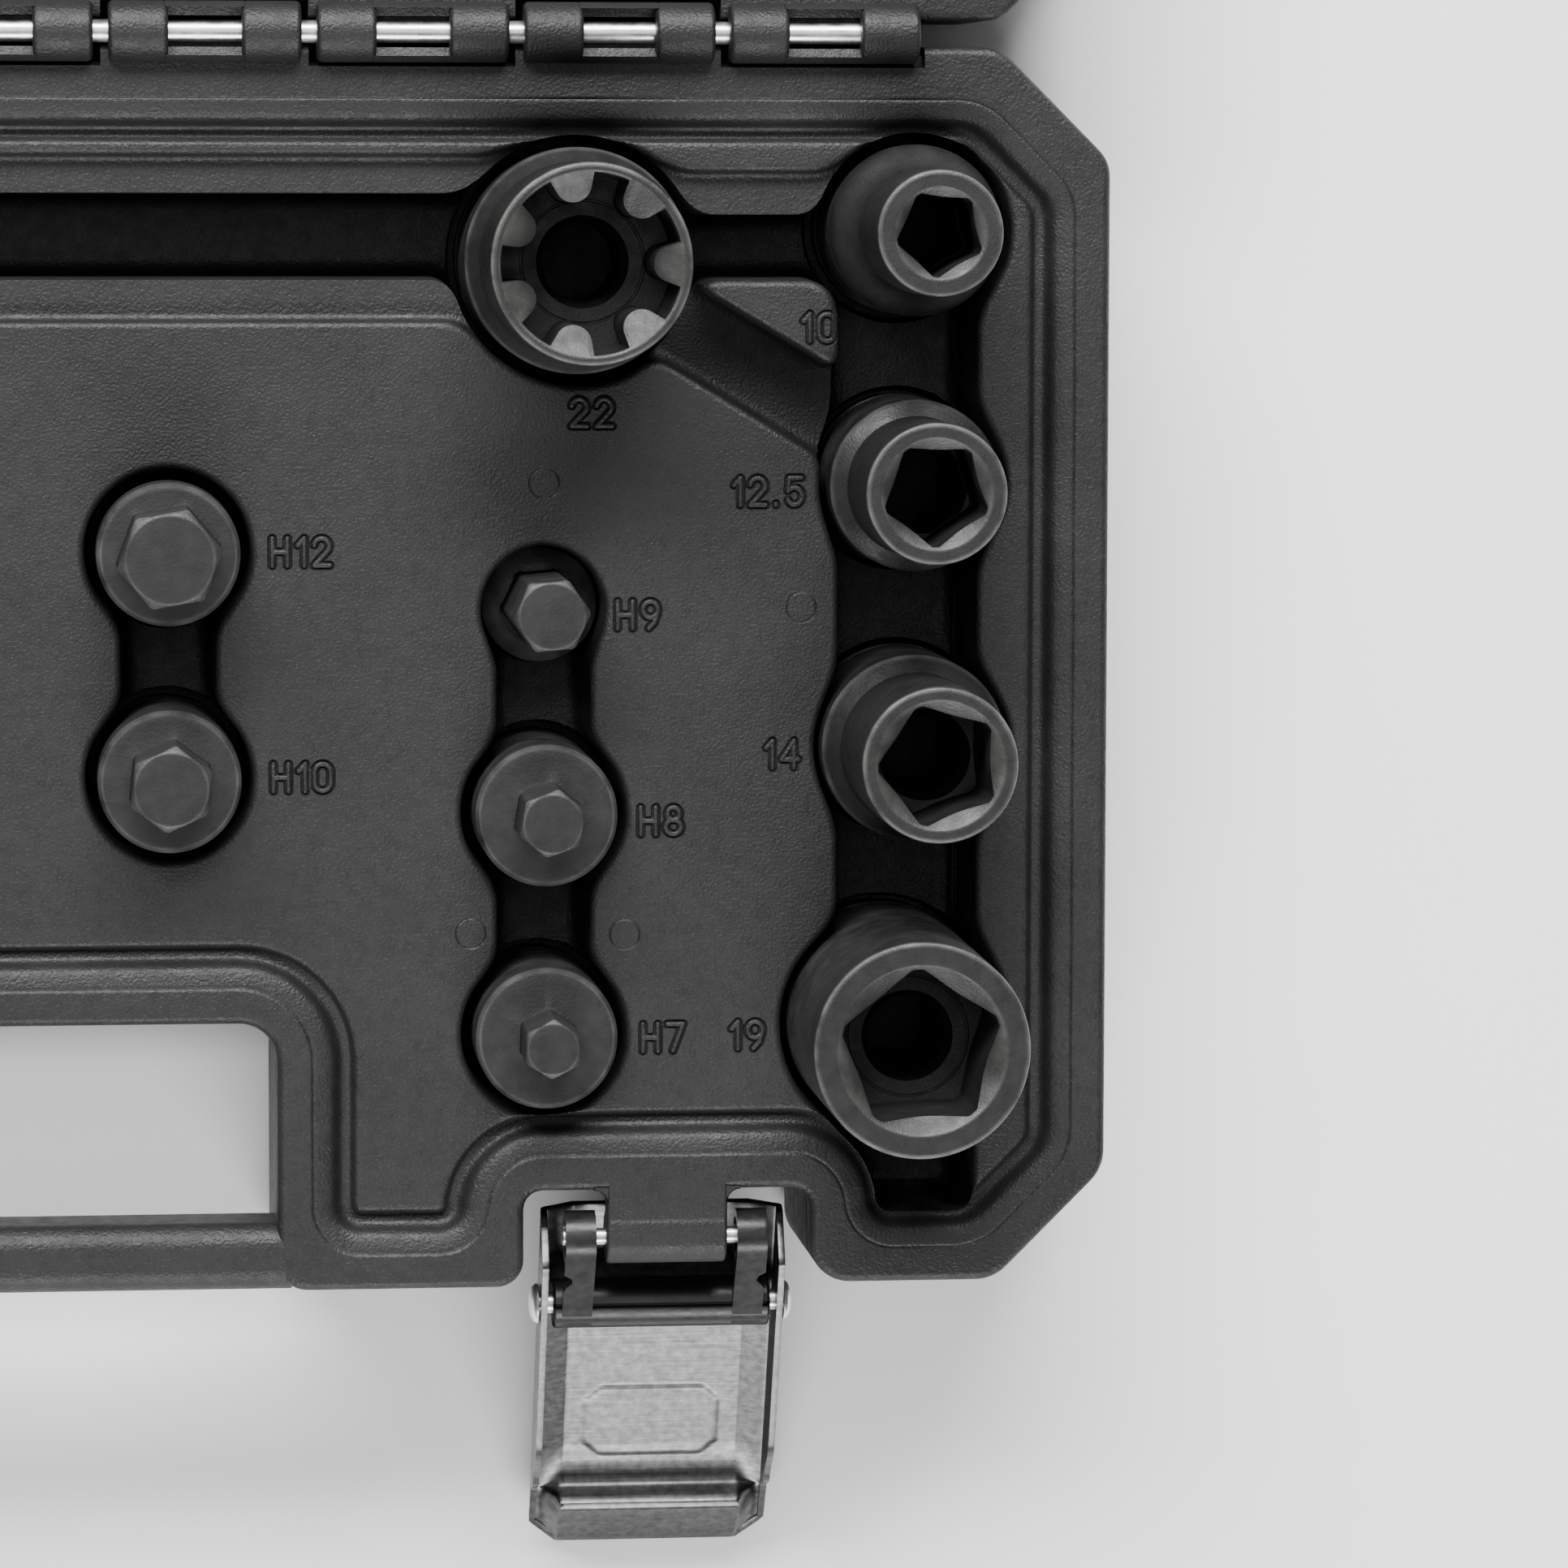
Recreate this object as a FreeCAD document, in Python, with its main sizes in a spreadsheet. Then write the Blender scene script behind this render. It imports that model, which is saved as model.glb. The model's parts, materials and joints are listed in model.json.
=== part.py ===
import FreeCAD, Part
import Sketcher
import math
import os

# Socket set in a hinged, double-walled plastic case.
# Frame: origin at the centre of the underside of the case's lower half, +X to the right,
# +Y towards the hinge, +Z up.  The case lies open flat, with the lid behind the hinge.
# A "local" half frame is used for both halves: the lid is the same outline, turned half a
# turn about the vertical line through the hinge axis.

doc = FreeCAD.newDocument("SocketSetCase")
sheet = doc.addObject("Spreadsheet::Sheet", "Sizes")

# ---------------------------------------------------------------- driving dimensions (mm)
SIZES = [
    ("case_width", 295.0),
    ("case_depth", 165.5),
    ("half_height", 35.85),
    ("hinge_height", 36.0),
    ("hinge_gap", 3.5),
    ("corner_cut", 15.0),
    ("skin", 2.0),
    ("seam_height", 31.0),
    # overlap of joined solids, and how far a cutter runs past what it cuts
    ("lap", 1.0),
    # rim of the tray, measured inwards from the outline
    ("rim_width", 7.6),
    ("groove_end", 10.5),
    ("back_rim_extra", 2.2),
    ("groove_floor", 32.8),
    ("tray_height", 34.0),
    # carry handle in the middle of the front
    ("grip_half", 36.0),
    ("grip_depth", 36.0),
    ("grip_bar", 9.0),
    ("grip_bottom", 22.0),
    # latch bays in the front
    ("latch_x", 88.2),
    ("bay_half", 19.3),
    ("bay_depth", 13.0),
    ("tongue_half", 8.1),
    ("tongue_thick", 4.0),
    ("pivot_y", -76.5),
    ("pivot_z", 32.25),
    ("pivot_barrel", 3.6),
    ("pivot_pin", 1.15),
    ("pivot_pin_half", 13.9),
    ("running_gap", 0.05),
    # hinge
    ("knuckle_radius", 4.0),
    ("knuckle_pitch", 27.2),
    ("knuckle_length", 25.2),
    ("knuckle_window", 9.6),
    ("window_half_depth", 2.6),
    ("window_sill", 0.6),
    ("window_head", 6.0),
    ("knuckle_room", 4.5),
    ("hinge_pin", 1.5),
    ("hinge_pin_short", 3.0),
    # latch link
    ("link_droop", 35.4),
    ("link_length", 12.51),
    ("link_eye", 2.6),
    ("link_arm_x", 11.55),
    ("link_arm_width", 4.1),
    ("link_arm_thick", 1.2),
    ("link_barrel", 3.4),
    ("link_barrel_half", 14.7),
    # latch lever, in its own frame about the rivet pin
    ("lever_droop", 25.5),
    ("lever_sheet", 1.0),
    ("lever_floor", -5.8),
    ("lever_half", 16.2),
    ("lever_flat", 12.0),
    ("lever_bend", -3.9),
    ("lever_wall", 3.3),
    ("lever_tail", 12.8),
    ("lever_reach", 45.0),
    ("lever_fold", 0.4),
    ("tail_wall", 3.2),
    ("tail_slope", 4.6),
    ("corner_width", 3.2),
    ("corner_length", 5.0),
    # hook of the lever: distances past hook_start, and heights
    ("hook_start", 34.0),
    ("hook_top", 1.6),
    ("hook_half", 12.2),
    ("hook_foot", 0.6),
    ("hook_face", 1.0),
    ("hook_crown_near", 1.2),
    ("hook_hollow", 2.0),
    ("hook_crown_far", 2.8),
    ("hook_lip", 1.4),
    ("rivet_pin", 1.5),
    ("rivet_head", 2.75),
    ("rivet_head_thick", 1.2),
    # catch for the hook in the lid's bay
    ("catch_half", 10.0),
    ("catch_low", 18.4),
    ("catch_high", 28.0),
    ("catch_depth", 7.6),
    # lid
    ("lid_rim", 5.0),
    ("lid_floor", 6.0),
    # tool pockets
    ("pocket_floor", 10.0),
    ("tool_gap", 0.3),
    ("pocket_play", 0.5),
    ("cup_wall", 1.6),
    ("column_x", 120.6),
    ("column_half", 9.3),
    ("column_low", -74.6),
    ("column_floor", 14.0),
    ("bit_x", 71.8),
    ("centre_x", 22.0),
    ("slot_half", 6.2),
    ("slot_floor", 18.0),
    ("back_ledge_low", 46.5),
    ("back_ledge_high", 65.5),
    ("back_ledge_floor", 28.0),
    ("back_slot_low", 51.9),
    ("back_slot_high", 60.1),
    ("cross_half", 5.5),
    ("cross_floor", 24.0),
    ("cross_turn", -31.0),
    ("cross_length", 52.0),
    # drives
    ("half_inch_drive", 12.75),
    ("half_inch_depth", 14.0),
    ("three_eighth_drive", 9.55),
    ("three_eighth_depth", 11.0),
    ("through_hole", 5.2),
    ("recess_depth", 16.0),
    ("lobe_radius", 2.3),
    ("lobe_circle", 10.6),
]

# name, kind, sides, turn (deg), x, y, corner radius of the profile, body radius, neck radius,
# shoulder height, neck height, top height, pocket radius at the tray
TOOLS = [
    ("socket_10", "socket", 5, 48.0, 121.4, 58.5, 6.0, 11.4, 8.25, 35.5, 41.0, 60.0, 13.4),
    ("socket_12_5", "socket", 5, 53.0, 121.4, 24.6, 7.3, 11.5, 9.3, 35.5, 37.0, 57.5, 13.0),
    ("socket_14", "socket", 5, 38.5, 121.4, -10.5, 8.5, 12.5, 10.25, 35.5, 38.0, 62.0, 14.7),
    ("socket_19", "socket", 5, 21.0, 119.2, -47.9, 11.2, 14.5, 14.3, 59.5, 61.0, 62.0, 16.0),
    ("socket_lobe_22", "lobe", 7, 0.0, 76.2, 54.5, 11.4, 15.0, 13.3, 35.5, 38.0, 59.5, 17.0),
    ("bit_hex_9", "bit", 6, 5.0, 71.8, 8.3, 5.2, 7.8, 5.6, 24.8, 26.0, 49.0, 8.7),
    ("bit_hex_8", "bit", 6, 20.0, 71.8, -18.9, 4.62, 9.5, 8.9, 38.3, 39.0, 50.0, 11.5),
    ("bit_hex_7", "bit", 6, 28.0, 71.8, -48.7, 4.04, 9.5, 8.9, 38.3, 39.0, 50.0, 11.5),
    ("bit_hex_12", "bit", 6, 10.0, 22.0, 16.0, 6.93, 9.5, 8.9, 38.3, 39.0, 50.0, 11.5),
    ("bit_hex_10", "bit", 6, 24.0, 22.0, -14.0, 5.77, 9.5, 8.9, 38.3, 39.0, 50.0, 11.5),
    ("bit_hex_16", "bit", 6, 4.0, -22.0, 16.0, 9.24, 10.5, 9.9, 38.3, 39.0, 50.0, 11.9),
    ("bit_hex_14", "bit", 6, 18.0, -22.0, -14.0, 8.08, 10.5, 9.9, 38.3, 39.0, 50.0, 11.9),
    ("socket_lobe_24", "lobe", 7, 12.0, -76.2, 54.5, 11.4, 15.0, 13.3, 35.5, 38.0, 59.5, 17.0),
    ("bit_hex_6", "bit", 6, 12.0, -71.8, 8.3, 3.46, 9.5, 8.9, 38.3, 39.0, 50.0, 11.5),
    ("bit_hex_5", "bit", 6, 3.0, -71.8, -18.9, 2.89, 9.5, 8.9, 38.3, 39.0, 50.0, 11.5),
    ("bit_hex_4", "bit", 6, 22.0, -71.8, -48.7, 2.31, 9.5, 8.9, 38.3, 39.0, 50.0, 11.5),
    ("socket_11", "socket", 6, 14.0, -121.4, 58.5, 6.35, 11.4, 8.6, 35.5, 41.0, 60.0, 13.4),
    ("socket_13", "socket", 6, 6.0, -121.4, 24.6, 7.51, 11.5, 9.9, 35.5, 37.0, 57.5, 13.0),
    ("socket_15", "socket", 6, 22.0, -121.4, -10.5, 8.66, 12.5, 10.9, 35.5, 38.0, 62.0, 14.7),
    ("socket_17", "socket", 6, 9.0, -119.2, -47.9, 9.81, 14.5, 14.3, 59.5, 61.0, 62.0, 16.0),
]
COLUMNS = ("x", "y", "corner", "body", "neck", "shoulder", "neck_start", "top", "pocket")


tool_sizes = [
    (row[0] + "_" + column, value) for row in TOOLS for column, value in zip(COLUMNS, row[4:])
]
for line, (alias, value) in enumerate(SIZES + tool_sizes, start=1):
    sheet.set(f"A{line}", str(value))
    sheet.setAlias(f"A{line}", alias)
doc.recompute()


def size(name):
    """The expression that reads one cell of the sheet."""
    return "Sizes." + name


S = {alias: size(alias) for alias, value in SIZES}


# ------------------------------------------------------------------------------ helpers
def bind(item, **expressions):
    for path, expression in expressions.items():
        item.setExpression(path.replace("__", "."), expression)
    return item


def place(item, x="0", y="0", z="0"):
    return bind(item, Placement__Base__x=x, Placement__Base__y=y, Placement__Base__z=z)


def turned(item, axis, degrees):
    item.Placement = FreeCAD.Placement(FreeCAD.Vector(), FreeCAD.Rotation(axis, degrees))
    return item


def box(name, x0, x1, y0, y1, z0, z1):
    item = doc.addObject("Part::Box", name)
    bind(item, Length=f"({x1}) - ({x0})", Width=f"({y1}) - ({y0})", Height=f"({z1}) - ({z0})")
    return place(item, x0, y0, z0)


def cylinder(name, radius, length, x, y, z, along_x=False):
    item = doc.addObject("Part::Cylinder", name)
    if along_x:
        turned(item, FreeCAD.Vector(0, 1, 0), 90)
    bind(item, Radius=radius, Height=length)
    return place(item, x, y, z)


def cone(name, radius_low, radius_high, height, x, y, z):
    item = doc.addObject("Part::Cone", name)
    bind(item, Radius1=radius_low, Radius2=radius_high, Height=height)
    return place(item, x, y, z)


def prism(name, sides, corner, height, x, y, z, turn):
    item = doc.addObject("Part::Prism", name)
    item.Polygon = sides
    turned(item, FreeCAD.Vector(0, 0, 1), turn)
    bind(item, Circumradius=corner, Height=height)
    return place(item, x, y, z)


def fuse(name, items):
    item = doc.addObject("Part::MultiFuse", name)
    item.Shapes = items
    item.Refine = True
    return item


def cut(name, base, tool):
    item = doc.addObject("Part::Cut", name)
    item.Base = base
    item.Tool = tool
    item.Refine = True
    return item


def sketch(body, role, loops, lift="0"):
    """Closed polygons whose corners are bound to the sheet, on one of the body's planes."""
    item = body.newObject("Sketcher::SketchObject", body.Name + "Sketch")
    plane = [f for f in body.Origin.OriginFeatures if f.Role == role][0]
    item.AttachmentSupport = [(plane, "")]
    item.MapMode = "FlatFace"
    item.setExpression("AttachmentOffset.Base.z", lift)
    first = 0
    for reach, points in enumerate(loops, start=1):
        count = len(points)
        start = [
            FreeCAD.Vector(10 * reach * math.cos(a), 10 * reach * math.sin(a), 0)
            for a in (2 * math.pi * i / count for i in range(count))
        ]
        for i in range(count):
            item.addGeometry(Part.LineSegment(start[i], start[(i + 1) % count]), False)
        for i in range(count):
            following = first + (i + 1) % count
            item.addConstraint(Sketcher.Constraint("Coincident", first + i, 2, following, 1))
        for i, (x, y) in enumerate(points):
            for kind, expression in (("DistanceX", x), ("DistanceY", y)):
                number = item.addConstraint(Sketcher.Constraint(kind, -1, 1, first + i, 1, 1.0))
                item.setExpression("Constraints[%d]" % number, expression)
        first += count
    return item


def pad(body, profile, length, midplane=False):
    item = body.newObject("PartDesign::Pad", body.Name + "Pad")
    item.Profile = profile
    item.Midplane = midplane
    item.setExpression("Length", length)
    return item


def pocket(body, profile, length, midplane=False):
    item = body.newObject("PartDesign::Pocket", body.Name + "Pocket")
    item.Profile = profile
    item.Midplane = midplane
    item.setExpression("Length", length)
    return item


def new_body(name):
    return doc.addObject("PartDesign::Body", name)


# ------------------------------------------------------------------- outline of one half
def outline(inset, back_extra="0"):
    """The case's outline, moved inwards: cut corners, two latch bays and the grip notch."""
    right = f"{S['case_width']} / 2 - ({inset})"
    back = f"{S['case_depth']} / 2 - ({inset})"
    hinge_side = f"{back} - ({back_extra})"
    slide = f"{S['corner_cut']} + ({inset}) * tan(22.5)"
    bay_in = f"{S['latch_x']} - {S['bay_half']} - ({inset})"
    bay_out = f"{S['latch_x']} + {S['bay_half']} + ({inset})"
    bay_y = f"-({back}) + {S['bay_depth']}"
    grip_x = f"{S['grip_half']} + ({inset})"
    grip_y = f"-({back}) + {S['grip_depth']}"
    half = [
        (right, f"{hinge_side} + ({inset}) - ({slide})"),
        (right, f"-({back} + ({inset}) - ({slide}))"),
        (f"{right} + ({inset}) - ({slide})", f"-({back})"),
        (bay_out, f"-({back})"),
        (bay_out, bay_y),
        (bay_in, bay_y),
        (bay_in, f"-({back})"),
        (grip_x, f"-({back})"),
        (grip_x, grip_y),
    ]
    half.insert(0, (f"{right} + ({inset}) - ({slide})", hinge_side))
    mirrored = [(f"-({x})", y) for x, y in reversed(half)]
    return half + mirrored


def moulding(body, inset, low, high):
    profile = sketch(body, "XY_Plane", [outline(inset)], low)
    return pad(body, profile, f"({high}) - ({low})")


# --------------------------------------------------------------------------- hinge parts
KNUCKLES = 9
HINGE_Y = f"{S['case_depth']} / 2 + {S['hinge_gap']} / 2"
HINGE_Z = S["hinge_height"]


def knuckle_start(index, extra="0"):
    offset = index - (KNUCKLES - 1) / 2
    return f"{offset} * {S['knuckle_pitch']} - {S['knuckle_length']} / 2 - ({extra})"


def knuckles(half, indices):
    """Barrels with a short neck into the back wall, in the half's local frame."""
    parts = []
    for i in indices:
        x0 = knuckle_start(i)
        x1 = f"{x0} + {S['knuckle_length']}"
        barrel = cylinder(f"{half}Barrel{i}", S["knuckle_radius"], S["knuckle_length"], x0, HINGE_Y,
                          HINGE_Z, along_x=True)
        neck = box(f"{half}Neck{i}", x0, x1, f"{S['case_depth']} / 2 - {S['skin']}", HINGE_Y,
                   S["seam_height"], S["half_height"])
        parts += [barrel, neck]
    return parts


def hinge_room(half, own, other):
    """Bore for the pin, a window over each own barrel, and room for the other half's."""
    parts = [cylinder(f"{half}Bore", f"{S['hinge_pin']} + {S['running_gap']}", S["case_width"],
                      f"-{S['case_width']} / 2", HINGE_Y, HINGE_Z, along_x=True)]
    for i in own:
        middle = f"{knuckle_start(i)} + {S['knuckle_length']} / 2"
        parts.append(box(f"{half}Window{i}", f"{middle} - {S['knuckle_window']} / 2",
                         f"{middle} + {S['knuckle_window']} / 2",
                         f"{HINGE_Y} - {S['window_half_depth']}",
                         f"{HINGE_Y} + {S['window_half_depth']}",
                         f"{HINGE_Z} - {S['window_sill']}", f"{HINGE_Z} + {S['window_head']}"))
    for i in other:
        parts.append(cylinder(f"{half}Room{i}", S["knuckle_room"],
                              f"{S['knuckle_length']} + 2 * {S['lap']}",
                              knuckle_start(i, S["lap"]), HINGE_Y, HINGE_Z, along_x=True))
    return parts


BASE_KNUCKLES = [1, 3, 5, 7]
LID_KNUCKLES = [0, 2, 4, 6, 8]


# ----------------------------------------------------------------------- outer shells
def outer_shell(name):
    """A tub: floor and side wall, open at the seam where the inner wall closes it."""
    body = new_body(name)
    moulding(body, "0", "0", S["seam_height"])
    room = sketch(body, "XY_Plane", [outline(S["skin"])], S["seam_height"])
    pocket(body, room, f"{S['seam_height']} - {S['skin']}")
    return body


base_shell = outer_shell("base_outer_shell")


# --------------------------------------------------------------------- base: inner tray
def channel_boxes(tag, grow, sink):
    """The finger channels between the pockets; grow widens and sink lowers them."""
    top = S["tray_height"] if grow != "0" else f"{S['half_height']} + {S['lap']}"
    items = []

    def channel(name, x0, x1, y0, y1, floor):
        low = f"{floor} - {sink}"
        items.append(box(tag + name, f"{x0} - {grow}", f"{x1} + {grow}", f"{y0} - {grow}",
                         f"{y1} + {grow}", low, top))

    for side, word in ((1, "Right"), (-1, "Left")):
        for name, x, half, low, high, floor in (
            ("Column", "column_x", "column_half", S["column_low"], size("socket_10_y"), "column_floor"),
            ("BitSlot", "bit_x", "slot_half", size("bit_hex_7_y"), size("bit_hex_9_y"), "slot_floor"),
            ("CentreSlot", "centre_x", "slot_half", size("bit_hex_10_y"), size("bit_hex_12_y"),
             "slot_floor"),
        ):
            middle = f"{side} * {S[x]}"
            channel(name + word, f"{middle} - {S[half]}", f"{middle} + {S[half]}", low, high, S[floor])
        cross = box(f"{tag}Cross{word}", "0", S["cross_length"], "0",
                    f"2 * ({S['cross_half']} + {grow})", "0", f"{top} - {S['cross_floor']} + {sink}")
        start_x = size("socket_lobe_22_x")
        start_y = size("socket_lobe_22_y")
        turn = f"{S['cross_turn']}" if side == 1 else f"180 - {S['cross_turn']}"
        reach = f"({S['cross_half']} + {grow})"
        bind(cross, Placement__Rotation__Angle=turn)
        place(cross, f"{side} * {start_x} + {reach} * sin({turn})", f"{start_y} - {reach} * cos({turn})",
              f"{S['cross_floor']} - {sink}")
        items.append(cross)
    ledge_low, ledge_high = S["back_ledge_low"], S["back_ledge_high"]
    slot_low, slot_high = S["back_slot_low"], S["back_slot_high"]
    inner, outer = size("socket_lobe_22_x"), S["column_x"]
    channel("BackStep", f"-{outer}", outer, slot_low, ledge_high, S["back_ledge_floor"])
    channel("BackLedge", f"-{inner}", inner, ledge_low, slot_high, S["back_ledge_floor"])
    channel("BackSlot", f"-{outer}", outer, slot_low, slot_high, S["column_floor"])
    return items


def cups():
    """The outside of every pocket: cones that reach down from the plate, and troughs."""
    items = channel_boxes("Trough", S["cup_wall"], S["cup_wall"])
    for row in TOOLS:
        name = row[0]
        low = f"{S['pocket_floor']} - {S['cup_wall']}"
        items.append(cone("Cup_" + name,
                          f"{size(name + '_body')} + {S['pocket_play']} + {S['cup_wall']}",
                          f"{size(name + '_pocket')} + {S['cup_wall']}",
                          f"{S['tray_height']} - ({low})",
                          size(name + "_x"), size(name + "_y"), low))
    return items


def pockets():
    """The inside of every pocket, and the channels."""
    items = channel_boxes("Channel", "0", "0")
    for row in TOOLS:
        name = row[0]
        x, y = size(name + "_x"), size(name + "_y")
        wide = size(name + "_pocket")
        items.append(cone("Pocket_" + name, f"{size(name + '_body')} + {S['pocket_play']}", wide,
                          f"{S['tray_height']} - {S['pocket_floor']}", x, y, S["pocket_floor"]))
        items.append(cylinder("Mouth_" + name, wide,
                              f"{S['half_height']} + {S['lap']} - {S['tray_height']}", x, y,
                              S["tray_height"]))
    return items


def latch_tongue(word, side):
    """The thin lug at rim height that carries the latch's pivot pin."""
    middle = f"{side} * {S['latch_x']}"
    x0 = f"{middle} - {S['tongue_half']}"
    plate = box("Tongue" + word, x0, f"{middle} + {S['tongue_half']}", S["pivot_y"],
                f"-{S['case_depth']} / 2 + {S['bay_depth']} + {S['lap']}",
                f"{S['half_height']} - {S['tongue_thick']}", S["half_height"])
    barrel = cylinder("TongueBarrel" + word, S["pivot_barrel"], f"2 * {S['tongue_half']}", x0,
                      S["pivot_y"], S["pivot_z"], along_x=True)
    return [plate, barrel]


def grip_bar(half):
    """Bar across the front of the grip notch."""
    front = f"-{S['case_depth']} / 2"
    return box(half + "GripBar", f"-{S['grip_half']}", S["grip_half"], front, f"{front} + {S['grip_bar']}",
               S["grip_bottom"], S["half_height"])


def base_tray():
    plate = new_body("TrayPlate")
    rim, extra, top = S["rim_width"], S["back_rim_extra"], S["half_height"]
    moulding(plate, "0", S["seam_height"], top)
    recess = sketch(plate, "XY_Plane", [outline(rim, extra)], top)
    pocket(plate, recess, f"{top} - {S['tray_height']}")
    ring = sketch(plate, "XY_Plane", [outline(rim, extra), outline(S["groove_end"], extra)], top)
    pocket(plate, ring, f"{top} - {S['groove_floor']}")
    solids = [plate, grip_bar("Base")] + cups() + knuckles("Base", BASE_KNUCKLES)
    hollows = pockets() + hinge_room("Base", BASE_KNUCKLES, LID_KNUCKLES)
    for side, word in ((1, "Right"), (-1, "Left")):
        solids += latch_tongue(word, side)
        hollows.append(cylinder("TongueBore" + word, f"{S['pivot_pin']} + {S['running_gap']}",
                                f"2 * ({S['tongue_half']} + {S['lap']})",
                                f"{side} * {S['latch_x']} - {S['tongue_half']} - {S['lap']}",
                                S["pivot_y"], S["pivot_z"], along_x=True))
    tray = cut("base_inner_tray", fuse("TraySolid", solids), fuse("TrayHollow", hollows))
    tray.Label = "base_inner_tray"
    return tray


tray = base_tray()


# ------------------------------------------------------------------------------- lid
def to_lid(item):
    """Turn a half in its local frame half a turn about the vertical through the hinge."""
    turned(item, FreeCAD.Vector(0, 0, 1), 180)
    place(item, "0", f"2 * ({HINGE_Y})", "0")
    return item


def mirrored(indices):
    return [KNUCKLES - 1 - i for i in indices]


def lid_tub():
    """The lid's outer wall, with a catch for the hook across each latch bay."""
    solids = [outer_shell("LidTub")]
    bay_y = f"-{S['case_depth']} / 2 + {S['bay_depth']}"
    for side, word in ((1, "Right"), (-1, "Left")):
        middle = f"{side} * {S['latch_x']}"
        solids.append(box("Catch" + word, f"{middle} - {S['catch_half']}",
                          f"{middle} + {S['catch_half']}", f"{bay_y} - {S['catch_depth']}",
                          f"{bay_y} + {S['skin']} / 2", S["catch_low"], S["catch_high"]))
    tub = fuse("lid_outer_shell", solids)
    tub.Label = "lid_outer_shell"
    return to_lid(tub)


def lid_skin():
    """Inner wall of the lid: a deep pan that clears the tools."""
    low = f"{S['lid_floor']} - {S['skin']}"
    body = new_body("LidPan")
    moulding(body, "0", S["seam_height"], S["half_height"])
    moulding(body, f"{S['lid_rim']} - {S['skin']}", low, f"{S['seam_height']} + {S['lap']}")
    pan = sketch(body, "XY_Plane", [outline(S["lid_rim"])], S["half_height"])
    pocket(body, pan, f"{S['half_height']} - {S['lid_floor']}")
    own, other = mirrored(LID_KNUCKLES), mirrored(BASE_KNUCKLES)
    solids = [body, grip_bar("Lid")] + knuckles("Lid", own)
    hollows = hinge_room("Lid", own, other)
    skin = cut("lid_inner_skin", fuse("LidSolid", solids), fuse("LidHollow", hollows))
    skin.Label = "lid_inner_skin"
    return to_lid(skin)


lid_shell = lid_tub()
inner_lid = lid_skin()

# ------------------------------------------------------------------------------- pins
HINGE_PIN_LENGTH = f"({KNUCKLES} * {S['knuckle_pitch']} - {S['hinge_pin_short']})"
hinge_pin = cylinder("hinge_pin", S["hinge_pin"], HINGE_PIN_LENGTH, f"-{HINGE_PIN_LENGTH} / 2", HINGE_Y,
                     HINGE_Z, along_x=True)


# ------------------------------------------------------------------------------ latches
RIVET_Y = f"({S['pivot_y']} - {S['link_length']} * cos({S['link_droop']}))"
RIVET_Z = f"({S['pivot_z']} - {S['link_length']} * sin({S['link_droop']}))"


def tip_forward(item, x, y, z, droop):
    """Set down at a pivot and droop the front by an angle about +X."""
    item.Placement = FreeCAD.Placement(FreeCAD.Vector(), FreeCAD.Rotation(FreeCAD.Vector(1, 0, 0), 1))
    bind(item, Placement__Rotation__Angle=droop)
    return place(item, x, y, z)


def latch_link(word, x):
    """Two arms with rolled eyes on the pivot pin and one wide barrel on the rivet pin."""
    length = S["link_length"]
    bore_start = f"-({S['link_barrel_half']} + {S['lap']})"
    bore_length = f"2 * ({S['link_barrel_half']} + {S['lap']})"
    solids = [cylinder("LinkBarrel" + word, S["link_barrel"], f"2 * {S['link_barrel_half']}",
                       f"-{S['link_barrel_half']}", f"-{length}", "0", along_x=True)]
    for side in (1, -1):
        tag = word + ("Outer" if side == 1 else "Inner")
        x0 = f"{side} * {S['link_arm_x']} - {S['link_arm_width']} / 2"
        x1 = f"{x0} + {S['link_arm_width']}"
        solids.append(cylinder("LinkEye" + tag, S["link_eye"], S["link_arm_width"], x0, "0", "0",
                               along_x=True))
        solids.append(box("LinkArm" + tag, x0, x1, f"-{length}", "0",
                          f"{S['link_eye']} - {S['link_arm_thick']}", S["link_eye"]))
    bores = [
        cylinder("LinkPivotBore" + word, f"{S['pivot_pin']} + {S['running_gap']}", bore_length,
                 bore_start, "0", "0", along_x=True),
        cylinder("LinkRivetBore" + word, f"{S['rivet_pin']} + {S['running_gap']}", bore_length,
                 bore_start, f"-{length}", "0", along_x=True),
    ]
    link = cut("latch_link_" + word, fuse("LinkSolid" + word, solids), fuse("LinkBores" + word, bores))
    link.Label = "latch_link_" + word
    return tip_forward(link, x, S["pivot_y"], S["pivot_z"], S["link_droop"])


def lever_section():
    """Cross-section of the lever: flat web, sloping shoulders and upright side walls."""
    floor, bend, wall = S["lever_floor"], S["lever_bend"], S["lever_wall"]
    half, flat, thick, fold = S["lever_half"], S["lever_flat"], S["lever_sheet"], S["lever_fold"]
    outer = [(half, wall), (half, bend), (f"{flat} + {fold}", floor)]
    inner = [(f"{half} - {thick}", wall), (f"{half} - {thick}", f"{bend} + {fold}"),
             (flat, f"{floor} + {thick}")]
    outer_left = [(f"-({x})", z) for x, z in outer]
    inner_left = [(f"-({x})", z) for x, z in inner]
    return outer + outer_left[::-1] + inner_left + inner[::-1]


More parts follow.
